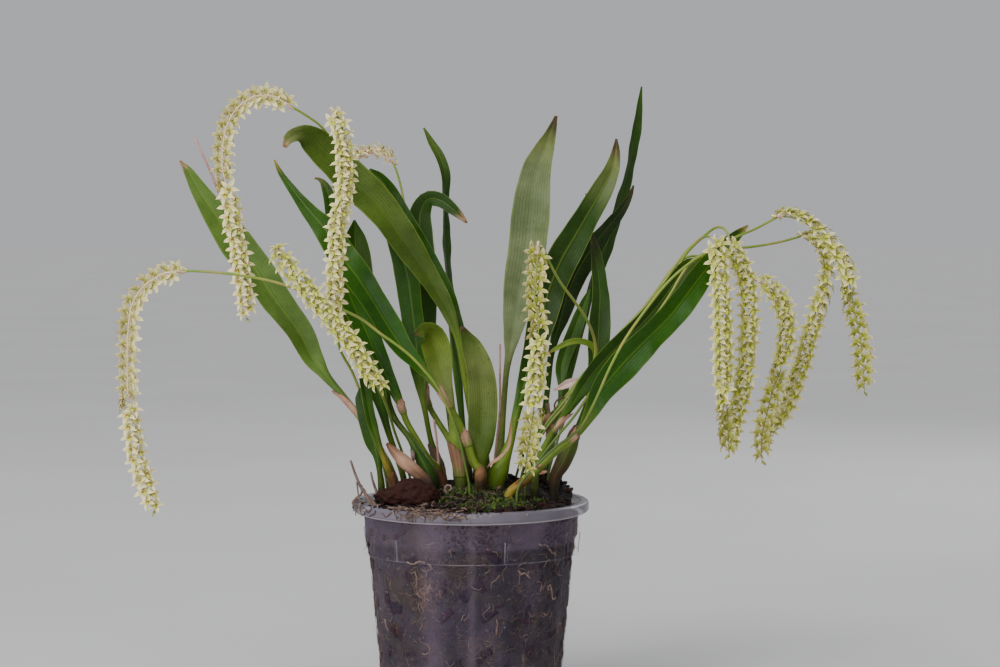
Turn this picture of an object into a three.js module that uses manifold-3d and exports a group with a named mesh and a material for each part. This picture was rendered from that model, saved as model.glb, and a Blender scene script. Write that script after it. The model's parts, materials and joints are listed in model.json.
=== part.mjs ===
// A potted necklace orchid: a clear flower pot filled with bark mix, a clump of leafy shoots, each a
// narrow pseudobulb with one long leaf, and eleven thin stalks that carry hanging chains of flowers.
// Millimetres, +Z up. The origin is the middle of the pot's underside, and the front faces -Y.
import * as THREE from 'three';
import { mergeVertices } from 'three/addons/utils/BufferGeometryUtils.js';
import Module from 'manifold-3d';

const wasm = await Module();
wasm.setup();

// Pot: a common 13 cm orchid pot of thin frosted plastic
const POT_HEIGHT = 120;
const RIM_RADIUS = 65;
const RIM_BAND = 6;
const RIM_LIP = 1;
const RIM_MOUTH_FLARE = 0.6;
const RIM_UNDERCUT = 0.8;
const NECK_RADIUS = 61.8;
const LEDGE_HEIGHT = 90;
const LEDGE_STEP = 1.7;
const LEDGE_RADIUS = 57.8;
const LEDGE_INSIDE_LOW = 0.4;
const LEDGE_INSIDE_HIGH = 1;
const BASE_RADIUS = 50;
const BASE_CHAMFER = 1;
const POT_WALL = 1.3;
const POT_FLOOR = 2.2;
const POT_SIDES = 36;
const DRAIN_HOLES = 6;
const DRAIN_RADIUS = 4;
const DRAIN_CIRCLE = 32;
const DRAIN_SIDES = 12;

// Bark mix: it fills the pot and is heaped up under the plant
const MIX_EDGE_HEIGHT = 113;
const MIX_HEAP = 14;
const MIX_LUMP = 1.1;
const MIX_EDGE_FLARE = 0.8;
const MIX_TOP_RINGS = [0.25, 0.5, 0.75, 0.92];
const MIX_SEED = 41;

// Every piece stands this far clear of its neighbour
const GAP = 0.3;

// Points closer together than this are one point
const WELD = 1e-4;

// Leaves
const BLADE_THICKNESS = 0.9;
const STEM_FLATNESS = 0.9;
const CHANNEL = 0.16;
const LEAST_HALF_WIDTH = 0.5;
const WAVE_STEP = 6.2;
const WAVE_LAG = 2;
const FULL_WAVE_HALF_WIDTH = 4;
const LEAF_STEP = 13.5;
const ROOTED_DEPTH = 9;

// Stalks
const STALK_RADIUS = 0.9;
const OLD_STALK_RADIUS = 0.8;
const STALK_SIDES = 5;
const STALK_STEP = 14;

// Flower chains: flowers stand alternately left and right of a thin axis
const FLOWER_STEP = 4.3;
const AXIS_RADIUS = 0.9;
const TEPAL_REACH = 5.6;
const NOTCH_REACH = 2.3;
const NOTCH_SETBACK = 1.1;
const LIP_RISE = 0.9;
const FLOWER_ASIDE = 4.5;
const FLOWER_FORWARD = 1.4;
const FLOWER_TURN = 42;
const FLOWER_NOD = 30;
const CHAIN_TIP_SCALE = 0.45;
const CHAIN_GROWTH = 0.09;
const STAR_CORNERS = 10;

// The layout below gives each point as it is seen from the front: x to the right of the pot's axis and
// z above the pot's underside, both measured in the upright plane through the axis, and then its depth
// behind that plane. The point itself lies on the line of sight, as far along it as the depth says.
const EYE = new THREE.Vector3(16, -1300, 272);

const material = (name, color, roughness) => {
  return new THREE.MeshStandardMaterial({ name, color, roughness, metalness: 0 });
};
const POT_PLASTIC = material('pot_plastic', 0x8d8a96, 0.35);
const BARK_MIX = material('bark_mix', 0x4a3a2a, 0.95);
const BARK = material('bark', 0x5a3a30, 0.9);
const LEAF_GREEN = material('leaf_green', 0x5d8a35, 0.4);
const STALK_GREEN = material('stalk_green', 0x93a84a, 0.5);
const DRY_SHEATH = material('dry_sheath', 0xc09a80, 0.8);
const FLOWER_CREAM = material('flower_cream', 0xe6e6c0, 0.6);

const plant = new THREE.Group();
const radians = THREE.MathUtils.degToRad;

// Seeded random numbers from 0 to 1
function randomFrom(seed) {
  let state = seed;
  return () => {
    state = (state * 1664525 + 1013904223) % 4294967296;
    return state / 4294967296;
  };
}

function geometryOf(points, faces) {
  const geometry = new THREE.BufferGeometry();
  geometry.setAttribute('position', new THREE.Float32BufferAttribute(points.flat(), 3));
  geometry.setIndex(faces.flat());
  return geometry;
}

function solidOf(geometry) {
  const bare = geometry.clone();
  bare.deleteAttribute('normal');
  bare.deleteAttribute('uv');
  const merged = mergeVertices(bare, WELD);
  return new wasm.Manifold(new wasm.Mesh({
    numProp: 3,
    vertProperties: new Float32Array(merged.attributes.position.array),
    triVerts: new Uint32Array(merged.index.array),
  }));
}

function geometryFrom(solid) {
  const mesh = solid.getMesh();
  const geometry = new THREE.BufferGeometry();
  geometry.setAttribute('position', new THREE.BufferAttribute(mesh.vertProperties, 3));
  geometry.setIndex(new THREE.BufferAttribute(mesh.triVerts, 1));
  return geometry;
}

function addPiece(name, geometry, finish) {
  geometry.computeVertexNormals();
  const mesh = new THREE.Mesh(geometry, finish);
  mesh.name = name;
  plant.add(mesh);
}

function placed([x, z, depth]) {
  const reach = 1 + depth / -EYE.y;
  return new THREE.Vector3(EYE.x + (x - EYE.x) * reach, depth, EYE.z + (z - EYE.z) * reach);
}

// A smooth line through the placed points
function lineThrough(rows) {
  return new THREE.CatmullRomCurve3(rows.map(placed), false, 'centripetal');
}

// A smooth run of values, one for each row, read at the same parameter as the line
function valuesThrough(values) {
  const points = values.map((value) => new THREE.Vector3(value, 0, 0));
  const curve = new THREE.CatmullRomCurve3(points, false, 'catmullrom', 0.4);
  return (t) => curve.getPoint(t).x;
}

function towardsEye(tangent, point) {
  const view = EYE.clone().sub(point).normalize();
  return view.addScaledVector(tangent, -view.dot(tangent)).normalize();
}

// Triangles between neighbouring rings of a loft, with both ends closed. mirrored names the ring's edges
// that take the other diagonal, so that the two faces of a thin blade are split alike.
function loftFaces(ringCount, size, mirrored = []) {
  const faces = [];
  for (let ring = 0; ring < ringCount - 1; ring += 1) {
    for (let edge = 0; edge < size; edge += 1) {
      const a = ring * size + edge;
      const b = ring * size + ((edge + 1) % size);
      if (mirrored.includes(edge)) {
        faces.push([a, b, a + size], [b, b + size, a + size]);
      } else {
        faces.push([a, b, b + size], [a, b + size, a + size]);
      }
    }
  }
  const last = (ringCount - 1) * size;
  for (let edge = 1; edge < size - 1; edge += 1) {
    faces.push([0, edge + 1, edge], [last, last + edge, last + edge + 1]);
  }
  return faces;
}

// Pot: the wall steps in at a ledge below the rim, and the rim is a short band with a small lip
function makePot() {
  const neckHeight = POT_HEIGHT - RIM_BAND;
  const outside = [
    [0, 0], [BASE_RADIUS - BASE_CHAMFER, 0], [BASE_RADIUS, BASE_CHAMFER], [LEDGE_RADIUS, LEDGE_HEIGHT],
    [LEDGE_RADIUS + LEDGE_STEP, LEDGE_HEIGHT + LEDGE_STEP], [NECK_RADIUS, neckHeight - RIM_UNDERCUT],
    [RIM_RADIUS - RIM_LIP, neckHeight], [RIM_RADIUS, neckHeight + RIM_LIP],
    [RIM_RADIUS, POT_HEIGHT - RIM_LIP], [RIM_RADIUS - RIM_LIP, POT_HEIGHT],
  ];
  const inside = [
    [NECK_RADIUS - POT_WALL + RIM_MOUTH_FLARE, POT_HEIGHT], [NECK_RADIUS - POT_WALL, POT_HEIGHT - RIM_LIP],
    [LEDGE_RADIUS + LEDGE_STEP - POT_WALL, LEDGE_HEIGHT + LEDGE_STEP + LEDGE_INSIDE_HIGH],
    [LEDGE_RADIUS - POT_WALL, LEDGE_HEIGHT - LEDGE_INSIDE_LOW],
    [BASE_RADIUS - POT_WALL, POT_FLOOR], [0, POT_FLOOR],
  ];
  const profile = [...outside, ...inside].map(([r, z]) => new THREE.Vector2(r, z));
  const turned = new THREE.LatheGeometry(profile, POT_SIDES).rotateX(Math.PI / 2);
  let pot = solidOf(turned);
  for (let hole = 0; hole < DRAIN_HOLES; hole += 1) {
    const angle = (hole + 0.5) * 2 * Math.PI / DRAIN_HOLES;
    const drill = new THREE.CylinderGeometry(DRAIN_RADIUS, DRAIN_RADIUS, POT_FLOOR * 3, DRAIN_SIDES)
      .rotateX(Math.PI / 2)
      .translate(DRAIN_CIRCLE * Math.cos(angle), DRAIN_CIRCLE * Math.sin(angle), POT_FLOOR / 2);
    pot = pot.subtract(solidOf(drill));
  }
  addPiece('pot', geometryFrom(pot), POT_PLASTIC);
}

// Shoots. Each row is a point of the midline, from the mix up to the leaf's tip: x, z, depth, half the
// width there, and how far the blade is turned about its midline, in degrees. The first stemRows rows are
// the bulb and the stalk of the leaf, which are round; from there on the blade is thin.
const SHOOTS = [
  {
    stemRows: 5, wave: 0.7,
    rows: [
      [-43, 127, 14, 3.2, 0], [-46, 139, 15, 2.6, 0], [-54, 153, 18, 1.6, 0], [-62.5, 167, 22, 1.6, 0],
      [-71.5, 178.5, 25, 1.8, 5], [-79.5, 187.5, 28, 2.8, 10], [-87, 198.5, 31, 5.8, 15],
      [-94, 212.5, 35, 7.4, 15], [-107.5, 231, 41, 8.6, 15], [-117, 245.5, 45, 9.2, 12],
      [-128, 260, 49, 9.4, 10], [-137, 272.5, 52, 7.8, 5], [-149.5, 291, 56, 4.6, 0],
      [-155, 300.5, 58, 2.7, -5], [-159.5, 306.5, 59, 0.5, -5],
    ],
  },
  {
    stemRows: 2, wave: 1.1,
    rows: [
      [-49.5, 127.5, -12, 2, 0], [-50.5, 136, -13, 1.6, 0], [-51.5, 143, -14, 2.4, -20],
      [-53.5, 150, -15, 4.2, -25], [-56, 159, -15, 5, -20], [-58.5, 168, -14, 4.8, -15],
      [-60.5, 176, -12, 3.8, -10], [-61, 181.5, -10, 0.6, -10],
    ],
  },
  {
    stemRows: 3, wave: 0.4,
    rows: [
      [-43, 128, -16, 1.8, 0], [-46.5, 138, -17, 1.6, 0], [-49.5, 146.5, -18, 1.6, 0],
      [-52, 153.5, -19, 2.2, 10], [-54.5, 162, -20, 3, 20], [-56.5, 171.5, -21, 2.9, 20],
      [-58, 181.5, -22, 3, 20], [-60, 190.5, -22, 2.4, 20], [-62, 197, -21, 0.6, 20],
    ],
  },
  {
    stemRows: 3, wave: 0.5,
    rows: [
      [-37, 130, 2, 1.8, 0], [-42, 146.5, 1, 1.6, 0], [-45.5, 157, 0, 1.8, 0], [-48.5, 168, -2, 2.6, -10],
      [-51, 178, -4, 4.6, -15], [-54.5, 188, -5, 5.2, -15], [-59.5, 200, -4, 4.2, -15],
      [-62.5, 208, -3, 0.6, -15],
    ],
  },
  {
    stemRows: 5, wave: 0.8,
    rows: [
      [-21.5, 128, -8, 3.9, 0], [-25, 137.5, -8, 4.2, 0], [-29.5, 146, -7, 2.8, 0], [-34, 154, -4, 1.7, 0],
      [-41, 163, 1, 1.7, 0], [-45.5, 171, 5, 2.6, 5], [-50, 182, 10, 4.8, 10], [-56.5, 200, 17, 8, 15],
      [-60.5, 218, 23, 9.6, 15], [-62.5, 235, 28, 9.8, 15], [-63, 252, 32, 8.4, 10],
      [-63.5, 264, 34, 6, 5], [-64, 274, 35.5, 0.6, 0],
    ],
  },
  {
    stemRows: 6, wave: 0.5,
    rows: [
      [-15.5, 128, 2, 2.6, 0], [-18.5, 136, 2, 2.7, 0], [-24, 142.5, 1, 2.3, 0], [-29.5, 152.5, 1, 1.7, 0],
      [-35.5, 163, 1, 1.7, 0], [-38.5, 171.5, 1, 2, 5], [-41.5, 178.5, 2, 3, 10],
      [-46, 187.5, 3, 4.3, 15], [-51.5, 199.5, 5, 5.9, 15], [-57.5, 213.5, 7, 6.7, 15],
      [-65.5, 231, 10, 6.6, 15], [-71, 251, 13, 5.6, 10], [-74.5, 267.5, 16, 4.4, 10],
      [-79, 290.5, 19, 2.9, 5], [-82.5, 296, 20, 1.8, 0], [-85.8, 297, 20, 0.5, 0],
    ],
  },
  {
    stemRows: 6, wave: 0.5,
    rows: [
      [6, 127, -16, 2.6, 0], [6, 134, -16, 2.8, 0], [1.5, 140.5, -16, 2.3, 0], [-2.5, 153, -17, 2.1, 0],
      [-7, 163.5, -18, 1.6, 0], [-17, 179.5, -20, 1.8, 0], [-22, 186, -20, 2.2, 5],
      [-28, 193, -20, 3.3, 10], [-37, 203.5, -19, 5.6, 15], [-44.5, 215, -18, 7.2, 18],
      [-53.5, 230, -16, 7.4, 18], [-62, 243, -14, 8, 15], [-70, 253.5, -11, 8, 10],
      [-78.5, 267, -8, 7, 0], [-88.5, 278.5, -5, 4.5, -10], [-97.5, 290, -2, 2.5, -10],
      [-104.5, 300, 0, 1.5, -10], [-107.8, 307, 1, 0.5, -10],
    ],
  },
  {
    stemRows: 5, wave: 0.6,
    rows: [
      [-16.5, 128.5, 18, 2.8, 0], [-17, 137, 18, 3, 0], [-20, 145, 18, 2.2, 0], [-22.5, 154, 19, 1.5, 0],
      [-25, 167, 18, 1.5, 0], [-26.5, 175.5, 18, 2, -5], [-28, 184, 19, 3.3, -10],
      [-29.5, 195, 21, 4.8, -15], [-31, 210, 25, 6.2, -15], [-33, 226, 27, 6.5, -15],
      [-35, 241, 29, 6.7, -15], [-38.5, 255, 31, 6, -15], [-43.5, 268, 33, 4.4, -10],
      [-48.5, 277, 34, 2.4, -10], [-52, 282, 35, 0.5, -10],
    ],
  },
  {
    stemRows: 6, wave: 0.9,
    rows: [
      [-3.5, 129, 8, 4.3, 0], [-4, 137, 8, 4.6, 0], [-8, 145, 9, 3.2, 0], [-12.5, 154, 14, 1.8, 0],
      [-18.5, 163.5, 20, 1.6, 0], [-23.5, 172.5, 26, 1.7, 0], [-26, 181.5, 29, 2.6, 5],
      [-26.5, 197, 32, 5, 10], [-26.5, 213.5, 36, 7.2, 15], [-27, 230, 40, 8.4, 15],
      [-27.5, 249, 44, 8.2, 10], [-28, 266, 48, 7.2, 5], [-27.5, 279, 50, 5.8, 0],
      [-23.5, 285.5, 49, 4.4, 0], [-17, 285, 46, 4, 0], [-10.5, 280.5, 43, 3.2, 0],
      [-5, 275.5, 41, 1.8, 0], [-2.2, 272.5, 40, 0.5, 0],
    ],
  },
  {
    stemRows: 5, wave: 0.4,
    rows: [
      [-5.5, 131, -6, 3.4, 0], [-6.5, 141, -6, 3.9, 0], [-8, 152, -6, 4.2, 0], [-9.5, 163.5, -5, 2.6, 0],
      [-10.5, 172, -4, 1.7, 0], [-11.5, 178.5, -3, 2, 0], [-14.5, 186, -2, 4.4, 5], [-17, 194, -1, 7, 10],
      [-19, 203, 0, 8, 10], [-21, 209.5, -1, 7.4, 10], [-24, 213, -5, 5.2, 10], [-28, 212.5, -8, 3.2, 5],
      [-31, 210.5, -9, 0.7, 0],
    ],
  },
  {
    stemRows: 4, wave: 0.6,
    rows: [
      [0, 128, 28, 2.2, 0], [-2, 140, 29, 2, 0], [-4.5, 160, 31, 1.6, 10], [-7, 185, 34, 2.4, 30],
      [-9, 205, 38, 3.2, 50], [-11.5, 238, 45, 4, 60], [-13.5, 268, 53, 4, 62], [-13.5, 285, 57, 3.6, 60],
      [-13.8, 299, 60, 3, 40], [-17, 309, 62, 2.6, 10], [-21.5, 316.5, 63, 1.9, 0],
      [-25.8, 324.5, 64, 0.5, 0],
    ],
  },
  {
    stemRows: 5, wave: 1.1,
    rows: [
      [4, 131, 3, 2.8, 0], [3.5, 141, 3, 2.6, 0], [2, 155, 3, 1.8, 0], [-1, 172, 4, 1.6, 0],
      [-4, 190, 5, 1.7, 0], [-7, 208, 6, 2, 5], [-12.5, 224, 7, 3.8, 10], [-24.5, 245, 9, 6.4, 15],
      [-37.5, 264.5, 10, 8.3, 15], [-50, 282, 11, 9.6, 15], [-65.5, 297, 11, 10, 15],
      [-76, 308, 10, 9.2, 15], [-84.5, 316, 7, 7.4, 10], [-91, 321, 4, 4.8, 5], [-97, 321, 1, 3, 0],
      [-101.5, 317.5, -1, 1.6, 0], [-103, 313.5, -2, 0.6, 0],
    ],
  },
  {
    stemRows: 4, wave: 0.6,
    rows: [
      [9, 129.5, 12, 2.4, 0], [8, 143, 12, 2.2, 0], [6, 160, 13, 1.7, 0], [2.5, 180, 14, 1.7, 0],
      [-2.5, 201, 15, 2.4, 5], [-8, 218, 17, 3.6, 10], [-14, 234, 19, 4.8, 10],
      [-21.5, 248.5, 21, 5.2, 10], [-30, 263, 22, 5.4, 10], [-38, 277, 24, 5.2, 10],
      [-44.5, 289, 25, 4.6, 10], [-50.5, 297.5, 26, 3, 5], [-55.5, 302, 26, 0.6, 0],
    ],
  },
  {
    stemRows: 2, wave: 1,
    rows: [
      [5, 131, -9, 3, 0], [5, 140, -9, 3.6, 0], [5.5, 152, -9, 7, 5], [6.5, 167, -9, 8.2, 5],
      [6.5, 180, -9, 8, 5], [4.5, 193, -10, 7.4, 5], [0.5, 204, -11, 5.8, 0], [-3, 211, -12, 3, 0],
      [-5, 215.5, -13, 1, 0],
    ],
  },
  {
    stemRows: 5, wave: 1,
    rows: [
      [15, 131, 14, 3, 0], [15.5, 143, 14, 2.8, 0], [17, 156, 15, 1.8, 0], [18, 171, 16, 1.6, 0],
      [19.5, 190, 18, 1.7, 0], [21, 200, 20, 2.4, -5], [22.5, 210, 22, 4.6, -10],
      [25, 225, 25, 7.8, -12], [28, 241, 28, 9.8, -12], [30.5, 256, 32, 10.6, -12],
      [32.5, 273, 36, 10.8, -12], [34, 290, 40, 9.6, -10], [36.5, 303, 43, 8, -10],
      [40, 312, 45, 5.6, -5], [44, 322, 47, 3, 0], [46.8, 331, 49, 0.8, 0],
    ],
  },
  {
    stemRows: 5, wave: 0.8,
    rows: [
      [13.5, 127, -2, 4.6, 0], [15.5, 135, -2, 5.3, 0], [18.5, 143, -2, 3.6, 0], [22, 153, -2, 2.3, 0],
      [24, 163, -1, 2.3, 0], [26.5, 173.5, 1, 2.8, 5], [29.5, 184.5, 4, 4, 10], [34, 201, 9, 6, 15],
      [39, 219, 14, 8, 15], [44, 237, 19, 8.8, 15], [50.5, 252.5, 24, 9, 15], [58, 266, 29, 8, 10],
      [65.5, 279, 33, 6.8, 10], [72, 290.5, 37, 6, 5], [77.5, 302, 40, 4.2, 0],
      [79.5, 311.5, 42, 2.4, 0], [79.8, 318.5, 43, 0.6, 0],
    ],
  },
  {
    stemRows: 6, wave: 0.9,
    rows: [
      [31, 130, 16, 3, 0], [33, 143, 17, 2.8, 0], [37.5, 155, 18, 1.8, 0], [40.5, 168, 20, 1.6, 0],
      [42.5, 184, 23, 1.6, 0], [44, 199, 26, 1.8, 0], [46.5, 210, 29, 2.6, 10], [50, 221, 32, 4.4, 20],
      [54, 234, 36, 5.8, 20], [60, 247, 41, 6.2, 20], [68, 260, 47, 5.6, 20], [76, 270.5, 51, 4, 15],
      [83, 279.5, 51, 2.6, 10], [87.5, 287.5, 53, 1.4, 0], [89.3, 293, 54, 0.5, 0],
    ],
  },
  {
    stemRows: 4, wave: 0.6,
    rows: [
      [40, 130, 30, 2.4, 0], [43, 145, 31, 2, 0], [48, 165, 34, 1.7, 10], [54.5, 190, 39, 2, 25],
      [60.5, 215, 45, 2.8, 40], [66, 235, 50, 3.6, 48], [72, 251, 54, 4.2, 50], [77, 264, 58, 4.4, 50],
      [81, 278, 62, 4.4, 50], [87.5, 302.5, 69, 4, 50], [90, 317, 73, 3.6, 50], [92, 331.5, 77, 2.8, 40],
      [93.6, 347, 82, 0.5, 30],
    ],
  },
  {
    stemRows: 3, wave: 0.8,
    rows: [
      [47, 130, 20, 2.8, 0], [51, 143, 20, 2.6, 0], [57.5, 155, 20, 1.8, 0], [63.5, 168, 21, 2.2, 5],
      [67.5, 180, 22, 3.6, 10], [69.5, 194, 24, 5.4, 15], [70.5, 207, 26, 6.2, 15], [71, 220, 29, 6, 15],
      [71.5, 233, 32, 5.2, 20], [70.5, 245, 35, 4.2, 30], [68.5, 256.5, 38, 3.4, 45],
      [66, 269, 41, 2.6, 60], [64.5, 279.5, 44, 1.8, 60], [63.3, 288.5, 46, 0.5, 60],
    ],
  },
  {
    stemRows: 5, wave: 0.4,
    rows: [
      [36, 129.5, 4, 3.4, 0], [38, 139, 4, 4, 0], [42.5, 149, 4, 2.4, 0], [47.5, 161, 5, 1.6, 0],
      [49.5, 174, 7, 1.6, 0], [50, 183.5, 9, 2.2, 0], [49.8, 192, 11, 3.4, 5], [52, 200.5, 13, 4, 10],
      [56, 210, 15, 4.2, 15], [59.5, 220, 17, 3.6, 15], [62.5, 228.5, 18, 2.4, 10],
      [65.5, 236, 19, 0.6, 5],
    ],
  },
  {
    stemRows: 3, wave: 0.2,
    rows: [
      [48, 130, 10, 2, 0], [54, 148, 9, 1.6, 0], [61, 165, 8, 1.6, 0], [66.5, 180, 7, 1.6, 0],
      [68.5, 193, 6, 1.6, 0], [68.5, 202, 5, 1.7, 0], [65, 206, 4, 1.7, 0], [58.5, 207.5, 3, 1.7, 0],
      [52, 206, 2, 1.6, 0], [46.5, 203, 1, 1.2, 0], [43, 201, 0, 0.5, 0],
    ],
  },
  {
    stemRows: 5, wave: 0.9,
    rows: [
      [21, 123, -24, 2.4, 0], [28, 129, -24, 2.6, 0], [36, 136, -25, 2.2, 0], [46.5, 146, -27, 1.9, 0],
      [55, 152.5, -29, 1.9, 0], [60.5, 158.5, -30, 2.2, 10], [66, 168, -31, 4, 15],
      [72, 179.5, -32, 7, 20], [80.5, 190, -33, 8.8, 20], [90, 200.5, -33, 8.6, 20],
      [99, 209.5, -33, 8, 20], [109, 219.5, -32, 7.6, 20], [118.5, 231.5, -31, 7.5, 20],
      [126, 242, -29, 7, 15], [133, 251, -27, 6, 10], [140, 259.5, -25, 4.4, 10],
      [146.5, 266, -23, 2.8, 10], [152.3, 271, -22, 0.6, 10],
    ],
  },
  {
    stemRows: 4, wave: 0.6,
    rows: [
      [35, 130, -10, 2.4, 0], [36.5, 140, -10, 2.2, 0], [42.5, 152.5, -12, 1.7, 0],
      [49.5, 163.5, -14, 1.8, 5], [56.5, 174, -16, 3, 10], [64, 185, -18, 4.6, 15],
      [73, 196, -19, 5.4, 15], [84, 207, -19.5, 5.6, 15], [95, 217.5, -19.5, 5.6, 15],
      [104.5, 228.5, -19, 5.4, 15], [112.5, 240, -18, 4.8, 10], [119, 249, -17, 3.6, 5],
      [127, 253, -16, 0.6, 0],
    ],
  },
  {
    stemRows: 5, wave: 0,
    rows: [
      [46, 131, -6, 3.2, 0], [50.5, 140, -6, 4.4, 0], [54.5, 149, -6, 4.4, 0], [57, 156, -6, 3, 0],
      [58.5, 161, -6, 1, 0],
    ],
  },
];

// The dry sheath of an old growth that leans out of the clump, and three old bare flower stalks
const SHEATH_ROWS = [
  [-24, 129, -14, 3, 0], [-29, 134, -15, 3.4, 0], [-36.5, 140.5, -15.5, 3.8, 0], [-43, 147, -14.5, 2.4, 0],
  [-46.5, 151, -14, 0.8, 0],
];
const OLD_STALKS = [
  [
    [-40, 128, 22], [-50, 150, 27], [-62, 168, 32], [-79, 190, 38], [-94, 213, 45], [-110, 240, 54],
    [-128, 268, 60], [-137, 286, 63], [-143, 300.4, 64], [-151.3, 319.1, 66],
  ],
  [[-17.5, 129, 8], [-18.5, 148, 9], [-20.3, 164, 10]],
  [[12, 130, 7], [14, 150, 8], [16, 170, 9], [16, 190, 10], [16, 206, 11]],
];

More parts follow.
